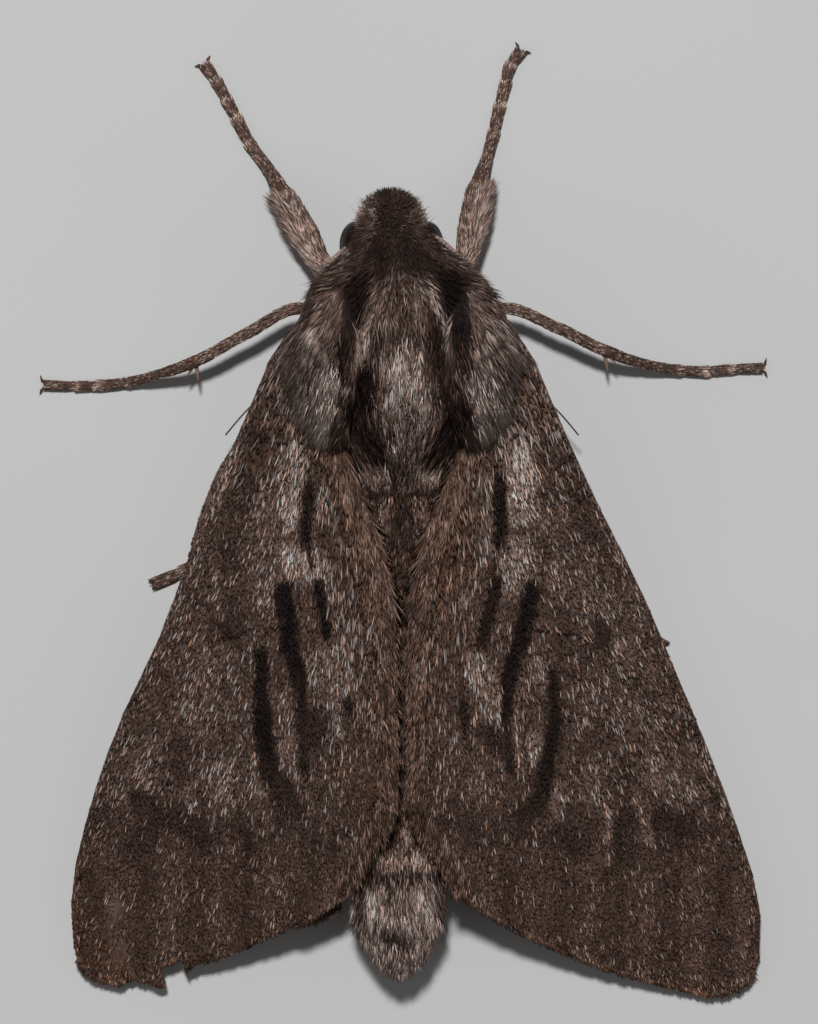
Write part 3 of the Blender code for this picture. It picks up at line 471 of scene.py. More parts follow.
def texture(made, kind, scale, **values):
    """A noise or cell texture that lies on the object itself."""
    place = made.node_tree.nodes.new("ShaderNodeTexCoord")
    return set_inputs(made, made.node_tree.nodes.new(kind), {"Scale": scale, **values},
                      {"Vector": (place, "Object")})


def two_colours(made, source, ends, colours):
    """A colour that runs between two with a texture."""
    node = made.node_tree.nodes.new("ShaderNodeValToRGB")
    for stop, position, colour in zip(node.color_ramp.elements, ends, colours):
        stop.position = position
        stop.color = (*colour, 1)
    return set_inputs(made, node, {}, {"Fac": (source, "Fac")})


def grain(made, shader, scale, strength, distance):
    """A fine cell pattern in the surface."""
    cells = texture(made, "ShaderNodeTexVoronoi", scale)
    height = set_inputs(made, made.node_tree.nodes.new("ShaderNodeBump"),
                        {"Strength": strength, "Distance": distance}, {"Height": (cells, "Distance")})
    set_inputs(made, shader, {}, {"Normal": (height, "Normal")})


def coat_material(name, roughness, specular):
    """A material that takes its colour from the painted tint, broken up by fine noise."""
    made, shader = material(name)
    new = made.node_tree.nodes.new
    tint = new("ShaderNodeVertexColor")
    tint.layer_name = "tint"
    noise = texture(made, "ShaderNodeTexNoise", 2600.0, Detail=3.0)
    spread = set_inputs(made, new("ShaderNodeMapRange"), {
        "From Min": 0.3, "From Max": 0.7, "To Min": 0.8, "To Max": 1.2}, {"Value": (noise, "Fac")})
    mixed = new("ShaderNodeMix")
    mixed.data_type = "RGBA"
    mixed.blend_type = "MULTIPLY"
    set_inputs(made, mixed, {0: 1.0}, {6: (tint, "Color"), 7: (spread, "Result")})
    set_inputs(made, shader, {"Roughness": roughness, "Specular IOR Level": specular},
               {"Base Color": (mixed, 2)})
    return made


def skin_material(name, bump=0.4, scale=4200.0, specular=0.15):
    """The painted tint with a fine scaly bump."""
    made = coat_material(name, 0.7, specular)
    grain(made, made.node_tree.nodes["Principled BSDF"], scale, bump, 0.00006)
    return made


def eye_material():
    """A glossy dark eye with faint facets and a browner cloud."""
    made, shader = material("eye_gloss")
    haze = texture(made, "ShaderNodeTexNoise", 1500.0)
    brown = two_colours(made, haze, (0.35, 0.7), ((0.003, 0.002, 0.002), (0.012, 0.007, 0.005)))
    grain(made, shader, 16000.0, 0.12, 0.00001)
    set_inputs(made, shader, {"Roughness": 0.2, "Specular IOR Level": 0.15},
               {"Base Color": (brown, "Color")})
    return made


FUR = coat_material("fur", 0.6, 0.15)
SCALE = coat_material("wing_scales", 0.55, 0.15)
LEG_COAT = coat_material("leg_scales", 0.55, 0.2)
SKIN = skin_material("body_cuticle")
MEMBRANE = skin_material("wing_membrane", 0.5, 5200.0, 0.1)
CUTICLE = skin_material("leg_cuticle", 0.35, 3600.0, 0.35)
FEELER = skin_material("antenna_cuticle", 0.5, 9000.0, 0.3)
EYE = eye_material()


# Body: one skin from the front of the head to the tail, as y, half width, lowest z, highest z, middle x

BODY = (
    (11.72, 0.34, 3.1, 4.0, -0.38), (11.5, 0.72, 2.85, 4.4, -0.38), (11.1, 1.0, 2.6, 4.75, -0.38),
    (10.4, 1.22, 2.35, 5.2, -0.38), (9.8, 1.6, 2.3, 5.45, -0.2), (9.3, 2.02, 2.15, 5.75, -0.08),
    (8.8, 2.5, 1.95, 6.15, -0.06), (8.2, 2.95, 1.75, 6.6, 0.04), (7.4, 3.15, 1.5, 6.9, 0.0),
    (6.7, 3.2, 1.35, 7.0, 0.0), (5.0, 3.1, 1.25, 7.1, 0.0), (3.6, 2.65, 1.4, 6.75, 0.0),
    (2.6, 2.1, 1.5, 6.1, 0.0), (2.0, 1.85, 1.45, 5.5, 0.0), (1.4, 1.8, 1.4, 5.2, 0.0),
    (-1.5, 1.85, 1.25, 5.22, 0.0), (-6.6, 1.78, 1.25, 4.95, 0.0), (-10.3, 1.72, 1.35, 4.25, -0.05),
    (-13.2, 1.62, 1.45, 3.8, -0.15), (-15.0, 1.28, 1.8, 3.65, -0.13), (-16.0, 0.75, 2.25, 3.2, -0.1),
    (-16.45, 0.3, 2.5, 2.98, -0.08),
)
BODY_Y, BODY_SHAPE = np.array(BODY)[::-1, 0], np.array(BODY)[::-1, 1:]
BODY_SLOPES = np.gradient(BODY_SHAPE, BODY_Y, axis=0)
RING_EDGES = (0.55, -1.7, -4.0, -6.3, -8.5, -10.6, -12.45, -14.3)  # rear edges of the abdomen's rings
WINGS_START, WINGS_END = 1.9, -10.8  # y, between which the wings cover the body
HEAD_SHIFT = -0.38  # the head's middle x


def body_sections(y):
    """Half width, lowest z, highest z and middle x at each y."""
    return smooth_between(BODY_Y, BODY_SHAPE, BODY_SLOPES, np.clip(y, BODY_Y[0], BODY_Y[-1]))


def body_points(y, angle, out=0.0):
    """Points on the body's skin, or some way out from it, at each y and angle from the top."""
    half, low, high, middle = body_sections(y).T
    return rows(middle + (half + out) * np.sin(angle), y,
                (low + high) / 2 + ((high - low) / 2 + out) * np.cos(angle))


def on_body(y, angle):
    """Places on the body's skin and the normals there."""
    place = body_points(y, angle)
    return place, unit(place - body_points(y, angle, -0.3))


def body_uv(points):
    """The body's unwrap: round it, and along it."""
    half, low, high, middle = body_sections(points[:, 1]).T
    angle = np.arctan2((points[:, 0] - middle) / np.maximum(half, 0.1),
                       (points[:, 2] - (low + high) / 2) / np.maximum((high - low) / 2, 0.1))
    return rows(0.5 + angle / (2 * np.pi) * 0.96, 0.02 + 0.96 * (points[:, 1] + 16.6) / 28.4)


def make_body():
    """The skin under the fur, swelling towards each ring's rear edge on the abdomen."""
    stations = np.concatenate([np.linspace(11.72, 8.0, 24), np.linspace(7.8, 1.6, 26),
                               np.linspace(1.4, -16.45, 84)])
    rings = []
    for y in stations:
        ring = body_points(np.full(64, y), circle(64))
        behind = [edge for edge in RING_EDGES if edge <= y]
        if y < 1.5 and behind:
            phase = np.clip(1 - (y - behind[0]) / 2.2, 0, 1)
            ring = ring.mean(0) + (ring - ring.mean(0)) * (1 + 0.05 * phase**2)
        rings.append(ring)
    points, faces = lofted(rings)
    obj = skin_object("body_skin", "coat", SKIN, points, faces, shade(body_tone(points) * 0.7, 0.1))
    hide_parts("head", "thorax", "abdomen", "palp_left", "palp_right", "tegula_left", "tegula_right")
    return points, faces


def body_coat(points, faces):
    """Fur over the head, thorax and abdomen."""
    # How dense it is: sparse under the wings and pads, dense on the head and tail
    x, y, z = points[faces].mean(1).T
    under_wings = (y < WINGS_START) & (y > WINGS_END) & (z > 2.6)
    seam = (z > 3.9) & ((np.abs(x) < 1.5) & (y > -4.8) | (np.abs(x) < 0.5))
    keep = np.where(under_wings, np.where(seam, 2.6, 0.15), 0.8)
    keep = np.where(y > WINGS_START, 1.25, keep)
    keep = np.where((y <= WINGS_END) & (z > 2.4), 2.0, keep)
    padded = (np.abs(np.abs(x) - 2.6) < 0.7) & (np.abs(y - 5.8) < 1.9) & (z > 3.4)
    keep = np.where(padded, 0.05, keep) * (1 + 1.3 * ramp(y, 9.2, 10.2) + 1.5 * ramp(y, 11.0, 11.4))
    count = 38500
    place, normal = sampled(points, faces, count, keep)
    y = place[:, 1]
    aside = place[:, 0] - HEAD_SHIFT * ramp(y, 8.0, 9.5)
    side = np.sign(aside) * np.minimum(1, np.abs(aside) / 1.4)
    head, collar, thorax = ramp(y, 9.4, 10.0), ramp(y, 7.4, 8.4), ramp(y, 1.7, 2.1)
    tail = ramp(y, -12.2, -12.8)
    beneath = ramp(normal[:, 2], 0.0, -0.5)
    front = ramp(y, 10.9, 11.35)
    above = normal[:, 2] > 0

    # Which way it lies: back, aside on the collar, forward on the face
    lie = np.tile([0.0, -1.0, 0.0], (count, 1))
    lie[:, 0] += side * (0.5 * collar * (1 - head) + 0.45 * head)
    lie[:, 1] += 1.9 * front + 0.35 * head
    lie[:, 0] -= side * 1.0 * thorax * ramp(y, 4.6, 2.9) * above
    lie[:, 0] -= 0.3 * side * ramp(y, -14.2, -15.6)
    lie += rng.normal(0, 1, lie.shape) * (0.14 + 0.55 * head * ramp(y, 10.0, 10.5))[:, None]

    # How long it is and how much it stands up
    length = 0.55 + 0.3 * tail + 0.5 * thorax - 0.35 * collar - 0.33 * head - 0.02 * front
    length = length * (1 - 0.42 * ramp(y, -15.2, -16.3))
    for edge in RING_EDGES:
        length = length + 0.2 * hump(y, edge, 0.2)
    length = length * (1 - 0.2 * beneath) * rng.uniform(0.6, 1.2, count)
    flank = collar * (1 - head) * ramp(np.abs(normal[:, 0]), 0.4, 0.9) * (normal[:, 2] > -0.3)
    length = length + 0.35 * flank
    lift = 0.26 + 0.06 * collar + 0.24 * head + 0.3 * flank + rng.normal(0, 0.1, count)
    heading, lift = leaving(lie, normal, np.sin(np.clip(lift, 0.1, 1.2)))
    width = 0.056 * rng.uniform(0.65, 1.25, count) * (1 - 0.25 * head)

    # The painted tone where each hair ends
    mean = body_tone(place + heading * length[:, None] * 0.8)
    mean = mean * (1 - beneath) + (0.36 - 0.1 * head) * beneath
    mean = mean * (0.55 + 0.9 * cloud(place[:, 0] * 7, y * 1.6))
    tone = flecked(mean, 1.1, (0.4, 1.1))
    rust = np.clip(0.12 + 0.15 * (y < 1.7) * (1 - tail) + rng.normal(0, 0.12, count), 0, 0.6)
    hairs("body_coat", FUR, place, normal, heading, length, width, lift, tone, rust,
          body_uv(place), droop=0.06, curl=0.10)


def brow_coat():
    """Fur that lies out over the eyes and the feelers' roots, pale before and behind the eyes."""
    for side, word in SIDES:
        count = 2400
        y = rng.uniform(9.3, 10.95, count)
        y[::2] = rng.uniform(9.8, 10.6, len(y[::2]))
        angle = side * np.radians(rng.uniform(34, 76, count))
        place, normal = on_body(y, angle)
        back = ramp(y, 10.6, 9.9)
        lie = rows(side * (0.75 + 0.1 * back), -0.4 - 0.35 * back + 0.6 * ramp(y, 10.5, 10.9), 0.22)
        heading, lift = leaving(lie + rng.normal(0, 0.22, lie.shape), normal, 0.15, 0.85)
        length = 0.34 + 0.22 * back + (0.23 + 0.09 * side) * ramp(y, 10.8, 10.5) + 0.2 * ramp(y, 9.9, 9.6)
        length = length * rng.uniform(0.6, 1.15, count)
        pale = np.maximum(ramp(y, 10.5, 10.7), ramp(y, 10.2, 9.95)) * ramp(np.abs(angle), 0.8, 1.05)
        mean = 0.22 + 0.42 * pale * (rng.random(count) < 0.8)
        hairs("brow_coat_" + word, FUR, place, normal, heading, length,
              0.042 * rng.uniform(0.7, 1.2, count), lift, flecked(mean, 1.0, (0.5, 1.2)),
              0.12, body_uv(place), droop=0.08, curl=0.12)


def whiskers():
    """A few fine long hairs at the sides of the face."""
    count = 44
    side = np.where(np.arange(count) % 2, 1.0, -1.0)
    y = rng.uniform(10.7, 11.4, count)
    place, normal = on_body(y, side * np.radians(rng.uniform(40, 100, count)))
    heading, lift = leaving(rows(0.7 * side, 0.75, 0.35) + rng.normal(0, 0.3, (count, 3)), normal, 0.4)
    hairs("whiskers", FUR, place, normal, heading, rng.uniform(0.4, 0.75, count), 0.018, lift,
          rng.uniform(0.1, 0.45, count), 0.1, body_uv(place), droop=0.1, curl=0.2)


# Shoulder pads

PADS_MIDDLE = np.array([0.0, 5.8, 3.8])  # inside the thorax, between the two


def pad_points(side, share, turn, out=0.0):
    """Points on a shoulder pad's outer face, by share of the way to its rim and turn."""
    y = 5.82 + 2.52 * share * np.cos(turn)
    angle = np.radians(54.0 + 27.0 * share * np.sin(turn)) * side
    height = 0.2 + 0.25 * ramp(y, 8.3, 6.8) * ramp(y, 2.4, 4.8) + 0.28 * (1 - share**2) + out
    return body_points(y, angle, height)


def make_pads():
    """A cap for each shoulder pad, and the fur that sweeps back over it."""
    for side, word in SIDES:
        turns = circle(40)
        rings = [pad_points(side, np.full(40, s), turns, -0.6) for s in (0.2, 0.6, 0.98)]
        rings += [pad_points(side, np.full(40, s), turns) for s in (1.0, 0.92, 0.8, 0.65, 0.45, 0.25, 0.1)]
        points, faces = lofted(rings)
        flat = unit(crosses(points, faces))
        outward = points[faces].mean(1) - PADS_MIDDLE
        if (flat * outward).sum(1).mean() < 0:
            faces, flat = faces[:, ::-1], -flat
        skin_object("shoulder_skin_" + word, "coat", SKIN, points, faces, shade(body_tone(points) * 0.7))

        # The fur grows on the outer face and the inner wall, but not on the rear end
        count = 7900
        inner_wall = (flat[:, 0] * side < -0.3) & (flat[:, 2] > -0.3)
        open_face = (((flat * outward).sum(1) > 0.2) | inner_wall) & (flat[:, 1] > -0.88)
        place, normal = sampled(points, faces, count, open_face)
        # It sweeps back, and aside most at the front of the outer edge
        outer = ramp(np.abs(place[:, 0]), 2.3, 3.3)
        front, rear = ramp(place[:, 1], 5.2, 7.4), ramp(place[:, 1], 5.8, 3.6)
        aside = side * (0.08 + outer * (0.10 + 0.55 * front) + 0.22 * rear)
        lie = rows(aside, -1.0, -0.16 - 0.14 * outer - 0.22 * rear)
        heading, lift = leaving(lie + rng.normal(0, 0.12, (count, 3)), normal, 0.14, 0.9)
        length = 1.0 + 0.1 * rear + 0.3 * outer + (0.3 if side < 0 else 0.15) * outer * front
        length = length * rng.uniform(0.6, 1.2, count) * (1 - 0.55 * ramp(normal[:, 1], 0.3, 0.75))
        out = heading * np.cos(lift)[:, None] + normal * np.sin(lift)[:, None]
        tips = place + out * length[:, None] * 0.8
        mean = body_tone(tips) * (0.7 + 0.6 * cloud(place[:, 0] * 7, place[:, 1] * 1.6))
        uv = rows(0.5 + 0.2 * (side * place[:, 0] - 2.8), 0.03 + 0.94 * (place[:, 1] - 3.2) / 5.3)
        hairs("shoulder_coat_" + word, FUR, place, normal, heading, length,
              0.055 * rng.uniform(0.65, 1.25, count), lift, flecked(mean, 1.1, (0.4, 1.1)),
              np.clip(rng.normal(0.1, 0.12, count), 0, 0.4), uv,
              droop=0.08 + 0.6 * ramp(normal[:, 1:2], 0.7, 0.95), curl=0.1)


# Wings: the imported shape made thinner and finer, under its scales

OUTER_EDGE = -0.45  # the outward y below which a wing's edge is its free, fringed one
WING_THIN = 0.33  # how much thinner the membrane is shown than its solid
RIGHT_BULGE = 0.47  # how far the right forewing's front edge stands out from its solid


def node_arrays(name):
    """Welded points in millimetres, triangles and point normals of a node."""
    work = bmesh.new()
    work.from_mesh(nodes[name].data)
    bmesh.ops.remove_doubles(work, verts=work.verts, dist=1e-7)
    bmesh.ops.triangulate(work, faces=work.faces)
    bmesh.ops.recalc_face_normals(work, faces=work.faces)
    work.normal_update()
    points = np.array([v.co[:] for v in work.verts]) / MM
    normals = np.array([v.normal[:] for v in work.verts])
    work.verts.index_update()
    faces = np.array([[v.index for v in f.verts] for f in work.faces])
    work.free()
    return points, faces, normals


def refined(points, faces, longest):
    """The same surface cut into smaller triangles by halving its long edges."""
    for _ in range(4):
        mesh = bpy.data.meshes.new("fine")
        mesh.from_pydata(points.tolist(), [], faces.tolist())
        work = bmesh.new()
        work.from_mesh(mesh)
        bpy.data.meshes.remove(mesh)
        edges = [e for e in work.edges if e.calc_length() > longest]
        if not edges:
            work.free()
            break
        bmesh.ops.subdivide_edges(work, edges=edges, cuts=1)
        bmesh.ops.triangulate(work, faces=work.faces)
        work.verts.index_update()
        points = np.array([v.co[:] for v in work.verts])
        faces = np.array([[v.index for v in f.verts] for f in work.faces])
        work.free()
    return points, faces


def wing_uv(points, up):
    """A wing's unwrap: its two faces side by side, across measured down its slope."""
    across = np.hypot(points[:, 0], 6.0 - points[:, 2])
    u = np.clip(across / 15.0, 0, 1) * 0.46 + np.where(up, 0.02, 0.52)
    return rows(u, 0.02 + 0.96 * (points[:, 1] + 17.8) / 25.5)


def wing_lie(place, side, hind):
    """Which way the scales point: out from the root, turning along the wing."""
    return unit(place - np.array([side, 10.0 if hind else 13.0, 5.5]))


def rim(points, faces, flat):
    """Edges of the upper face: their two ends and the outward direction on plan."""
    up = flat[:, 2] > 0.25
    edges = {}
    for number, face in enumerate(faces):
        for k in range(3):
            edges.setdefault(tuple(sorted((face[k], face[(k + 1) % 3]))), []).append(number)
    ends, out = [], []
    for (a, b), pair in edges.items():
        if len(pair) == 2 and up[pair[0]] != up[pair[1]]:
            inner = pair[0] if up[pair[0]] else pair[1]
            along = points[b] - points[a]
            across = unit(np.array([along[1], -along[0], 0.0]))
            if across @ (points[faces[inner]].mean(0) - points[a]) > 0:
                across = -across
            ends.append((points[a], points[b]))
            out.append(across)
    return np.array(ends), np.array(out)


def rim_distance(place, ends):
    """How far each place is from the rim, and the number of its nearest edge."""
    start, along = ends[:, 0], ends[:, 1] - ends[:, 0]
    size = np.maximum(1e-9, (along**2).sum(1))
    found, nearest = np.zeros(len(place)), np.zeros(len(place), int)
    for i in range(0, len(place), BATCH):
        some = slice(i, i + BATCH)
        away = place[some, None] - start[None]
        share = np.clip((away * along).sum(-1) / size, 0, 1)[..., None]
        away = np.linalg.norm(away - share * along, axis=-1)
        found[some], nearest[some] = away.min(1), away.argmin(1)
    return found, nearest


def beside_rim(heading, normal, away, outward):
    """Headings that no longer point over the front and inner edges, when near them."""
    near = np.clip(1.4 - away / 0.35, 0, 1) * (outward[:, 1] > OUTER_EDGE)
    over = np.maximum(0, (heading * outward).sum(1)) + 0.12
    return tangent(heading - (near * over)[:, None] * outward, normal)


def fore_tones(x, y):
    """Tone and rust of single scales on a forewing's upper face, and which are pale flecks."""
    count = len(x)
    mean = wing_tone(x, y)
    slant = x + (y - WING_ROOT) * (x - CENTRE_X) / WING_RUN
    patchy = cloud(slant / 7, y / 30, 5) * 0.5 + cloud(slant / 24, y / 60, 6) * 0.5
    share = 0.34 * (0.1 + 3.6 * patchy**2) * np.clip(mean - 0.10, 0, 1) * (1 - 0.3 * ramp(y, 830, 870))
    pale = rng.random(count) < share
    mean = mean * (0.74 + 0.52 * cloud(slant / 10, y / 22, 7))
    tone = mean * (1.25 - 0.6 * mean) * rng.uniform(0.4, 1.2, count)
    tone = np.where(pale, (0.42 + 0.85 * mean) * rng.uniform(0.6, 1.15, count), tone)
    rust = painted(x, y, 0.22, RUST_STROKES) + 0.14 * ramp(y, 820, 880)
    rust = rust * np.where(tone > 0.42, 0.4, 1.0) + rng.normal(0, 1, count) * np.where(pale, 0.25, 0.12)
    return tone, np.clip(rust, -0.1, 1), pale


def make_fringe(name, side, hind, ends, out):
    """Fine hair-scales along a wing's margins."""
    middle = ends.mean(1)[:, 1]
    inner_edge = (out[:, 0] * side < -0.6) & (middle < 4.6) & (middle > -15.3) & (not hind)
    inner = inner_edge & (middle < 3.0)
    outer = (out[:, 1] < OUTER_EDGE) & ~inner
    weight = np.linalg.norm(ends[:, 1] - ends[:, 0], axis=1)
    weight = weight * np.where(inner, 5.0, np.where(outer, 4.0, 0.6))
    count = 700 if hind else 4100
    pick = np.searchsorted(np.cumsum(weight) / weight.sum(), rng.random(count))
    share = rng.random((count, 1))
    place = ends[pick, 0] * (1 - share) + ends[pick, 1] * share
    out, inner, outer = out[pick], inner[pick], outer[pick]
    back = rng.random((count, 1)) * np.where(inner, 0.7, 0.12)[:, None]
    place = place - out * back
    place[:, 2] += 0.01 - 0.2 * back[:, 0] * inner  # the inner edge's roots sink into the wing
    if not hind:
        worn = painted(*plan_units(place), 0.0, WORN_STROKES, 0.6) > 0.3
        place, out, inner, outer = (kept[~worn] for kept in (place, out, inner, outer))
        count = len(place)
    normal = unit(rows(0.25 * side, 0.1, np.ones(count)))
    lie = wing_lie(place, side, hind) + out * np.where(inner, 0.2, np.where(outer, 0.5, -0.12))[:, None]
    heading = tangent(lie + rng.normal(0, 1, lie.shape) * np.where(inner, 0.16, 0.06)[:, None], normal)
    length = np.where(inner, 0.62, np.where(outer, 0.26, 0.13)) * rng.uniform(0.6, 1.15, count)
    length = np.where(inner & (place[:, 1] < -8.0), 0.55, length)
    if hind:
        tone, rust = rng.uniform(0.30, 0.48, count), 0.05
    else:
        x, y = plan_units(place)
        mean = np.where(inner, 0.33, wing_tone(x, y) * 0.9) * (0.6 + 0.8 * cloud(x / 5, y / 20, 9))
        tone = flecked(mean, 1.0, (0.45, 1.2))
        rust = np.where(inner, 0.35, 0.25 + 0.45 * ramp(y, 900, 970)) + rng.normal(0, 0.15, count)
    hairs(name + "_fringe", SCALE, place, normal, heading, length,
          0.055 * rng.uniform(0.7, 1.2, count), rng.uniform(0.0, 0.12, count), tone, np.clip(rust, 0, 1),
          wing_uv(place, True), droop=0.02, curl=0.05)
    if not hind:
        root_fur(name, side, ends, inner_edge)


def root_fur(name, side, ends, inner_edge):
    """Long hairs from a forewing's inner edge near its root, closing the way down to the body."""
    near = ends[inner_edge & (ends.mean(1)[:, 1] > -3.0)]
    count = 1000
    pick, share = rng.integers(len(near), size=count), rng.random((count, 1))
    place = near[pick, 0] * (1 - share) + near[pick, 1] * share
    normal = unit(np.tile([-0.5 * side, 0.0, 1.0], (count, 1)))
    lie = np.tile([-0.36 * side, -0.95, -0.25], (count, 1)) + rng.normal(0, 0.2, (count, 3))
    x, y = plan_units(place)
    mean = 0.32 * (0.6 + 0.8 * cloud(x / 5, y / 20, 9))
    hairs(name + "_root_fur", FUR, place, normal, unit(lie), rng.uniform(0.7, 1.3, count), 0.055,
          0.0, flecked(mean, 1.0, (0.45, 1.2)), np.clip(rng.normal(0.3, 0.15, count), 0, 1),
          wing_uv(place, True), droop=0.25, curl=0.08)


def make_wing(name, side, hind, above, below):
    """A wing's membrane, its fringe, and some numbers of scales above and below."""
    points, faces, normals = node_arrays(name)
    points[normals[:, 2] < 0, 2] += WING_THIN
    if name == "forewing_right":
        points[:, 0] += RIGHT_BULGE * (hump(points[:, 1], -3.7, 3.4) * ramp(points[:, 0], 3.0, 7.0))
    points, faces = refined(points, faces, 0.55)
    flat = unit(crosses(points, faces))
    x, y = plan_units(points)
    tone = 0.28 + 0.04 * np.sin(x * 0.1) if hind else wing_tone(x, y) * 0.7
    rust = painted(x, y, 0.1 if hind else 0.25, RUST_STROKES)
    obj = skin_object(name + "_skin", "wing", MEMBRANE, points, faces, shade(tone, rust * 0.6))
    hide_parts(name)
    ends, out = rim(points, faces, flat)
    make_fringe(name, side, hind, ends, out)
    by_rim = hump(rim_distance(points[faces].mean(1), ends)[0], 0.0, 0.35)
    for up, count in ((True, above), (False, below)):
        # The upper scales grow over the edges too, and closer together there
        keep = (flat[:, 2] > -0.3) * (1 + 1.6 * by_rim) if up else (flat[:, 2] < -0.25)
        place, normal = sampled(points, faces, count, keep)
        x, y = plan_units(place)
        if up and not hind:
            worn = painted(x, y, 0.0, WORN_STROKES, 0.6)
            kept = rng.random(count) > worn
            place, normal, x, y = place[kept], normal[kept], x[kept], y[kept]
            count = len(place)
        away, nearest = rim_distance(place, ends)
        lie = wing_lie(place, side, hind) + rng.normal(0, 0.15, (count, 3))
        heading = beside_rim(tangent(lie, normal), normal, away, out[nearest])
        # They are longest at the root and along the inner edge
        inner = ramp(np.abs(place[:, 0]), 4.2, 1.6) * ramp(place[:, 1], -9.0, -1.0)
        root = ramp(place[:, 1], 0.5, 4.0)
        tip = ramp(y, 800, 900)
        length = (0.25 + 0.28 * np.maximum(inner, root) - 0.04 * tip) * rng.uniform(0.7, 1.3, count)
        width = (0.074 - 0.014 * inner) * rng.uniform(0.7, 1.25, count)
        height = np.zeros(count)
        if up and not hind:
            tone, rust, pale = fore_tones(x, y)
            length = np.where(pale, length * rng.uniform(1.0, 1.5, count), length)
            width = np.where(pale, (0.058 - 0.010 * tip) * rng.uniform(0.7, 1.4, count), width)
            height = 0.02 * pale
        else:
            length, width = length * 1.5, width * 2.0
            tone = flecked(np.full(count, 0.34), 0.6)
            rust = np.clip(0.3 + rng.normal(0, 0.15, count), 0, 1)
        # None reaches far over the rim
        free = out[nearest][:, 1] < OUTER_EDGE
        most = np.where(free, 0.12 + away, 0.20 + 1.5 * away)
        length = np.minimum(length, most if up else np.maximum(0.05, away - 0.05))
        scales(name + ("_scales" if up else "_under_scales"), SCALE,
               place + height[:, None] * normal, normal, heading, length, width,
               np.clip(0.04 + rng.normal(0, 0.02, count), 0.01, 0.1), tone, rust, wing_uv(place, up))


# Legs, near the axes of their solids

FOOT = 0.22  # the height of the feet's axes
# Height and radius of each kind's axis, from the body to the foot
LEG_RISE = {
    "foreleg": (
        (1.9, 0.5), (1.9, 0.45), (1.85, 0.42), (1.4, 0.46), (0.75, 0.36), (0.35, 0.26), (FOOT, 0.26),
        (FOOT, 0.26), (FOOT, 0.25), (FOOT, 0.25), (FOOT, 0.27),
    ),
    "midleg": (
        (1.6, 0.55), (1.8, 0.42), (2.0, 0.34), (2.1, 0.32), (1.8, 0.32), (1.05, 0.26), (0.35, 0.27),
        (FOOT, 0.28), (FOOT, 0.25), (FOOT, 0.26),
    ),
    "hindleg": (
        (1.5, 0.55), (1.3, 0.42), (1.35, 0.36), (1.0, 0.34), (0.55, 0.3), (0.3, 0.26), (FOOT, 0.26),
        (FOOT, 0.26),
    ),
}
# Where the same points lie on plan: x and y
LEG_PLAN = {
    "foreleg_right": (
        (0.8, 8.3), (1.6, 8.7), (2.2, 9.3), (2.5, 10.6), (2.84, 12.3), (3.1, 13.2), (3.36, 14.15),
        (3.6, 15.2), (3.8, 16.0), (3.97, 16.65), (4.35, 17.2),
    ),
    "foreleg_left": (
        (-0.8, 8.3), (-1.8, 8.6), (-2.75, 9.1), (-3.5, 10.4), (-4.4, 12.0), (-4.95, 12.9), (-5.6, 13.8),
        (-6.08, 14.7), (-6.45, 15.4), (-6.83, 16.1), (-7.25, 16.7),
    ),
    "midleg_right": (
        (1.5, 6.4), (2.7, 7.3), (3.7, 7.66), (5.6, 7.0), (7.4, 6.15), (8.8, 5.7), (10.2, 5.47),
        (11.2, 5.42), (12.1, 5.5), (13.25, 5.55),
    ),
    "midleg_left": (
        (-1.5, 6.4), (-2.7, 7.3), (-3.7, 7.66), (-5.6, 6.8), (-7.55, 5.75), (-8.9, 5.3), (-10.1, 5.02),
        (-11.2, 4.9), (-12.0, 4.88), (-13.15, 4.92),
    ),
    "hindleg_right": (
        (1.3, 3.9), (2.8, 3.0), (4.3, 2.1), (5.5, 0.2), (6.4, -1.6), (7.4, -3.0), (8.4, -3.95),
        (9.64, -4.68),
    ),
    "hindleg_left": (
        (-1.3, 3.9), (-2.8, 3.2), (-4.2, 2.5), (-5.3, 1.0), (-6.2, -0.5), (-7.2, -1.4), (-8.1, -1.95),
        (-9.15, -2.4),
    ),
}
ANKLE = 4  # the point of each leg where its tarsus starts
# How pale the joints of the tarsus are, by their points' numbers
RINGS = {
    "foreleg": {6: 0.5, 7: 1.0, 8: 0.35, 9: 0.5},
    "midleg": {6: 0.6, 7: 1.0, 8: 0.9},
    "hindleg": {5: 0.5, 6: 0.7},
}
SPURS = {
    "midleg_right": ((0.15, -0.85, -0.35), (0.5, -0.55, -0.3)),
    "midleg_left": ((0.1, -0.8, -0.35), (-0.35, -0.6, -0.3)),
    "hindleg_right": ((0.5, -0.75, -0.15), (0.1, -0.8, -0.1)),
    "hindleg_left": ((-0.4, -0.75, -0.15), (-0.05, -0.8, -0.1)),
    "foreleg_right": ((-0.12, 0.35, -0.15),),
    "foreleg_left": ((0.1, 0.35, -0.15),),
}


def square_to(along):
    """Level directions square to those along a line, and the ones square to both."""
    side = unit(np.cross(along, [0, 0, 1]))
    return side, np.cross(side, along)


def tube_rings(axis, sides, floor=True):
    """Rings round an axis of points and radii, no lower than the floor, and the way along it."""
    along = unit(np.gradient(axis[:, :3], axis=0))
    side, over = square_to(along)
    turns = circle(sides)[None, :, None]
    rings = axis[:, None, :3] + axis[:, 3, None, None] * (
        np.cos(turns) * side[:, None, :] + np.sin(turns) * over[:, None, :])
    if floor:
        rings[:, :, 2] = np.maximum(rings[:, :, 2], 0.005)
    return rings, along


def merged(parts):
    """Points, triangles and colours of several bodies as one."""
    points, faces, colours = zip(*parts)
    before = np.cumsum([0] + [len(p) for p in points[:-1]])
    return np.vstack(points), np.vstack([f + n for f, n in zip(faces, before)]), np.vstack(colours)


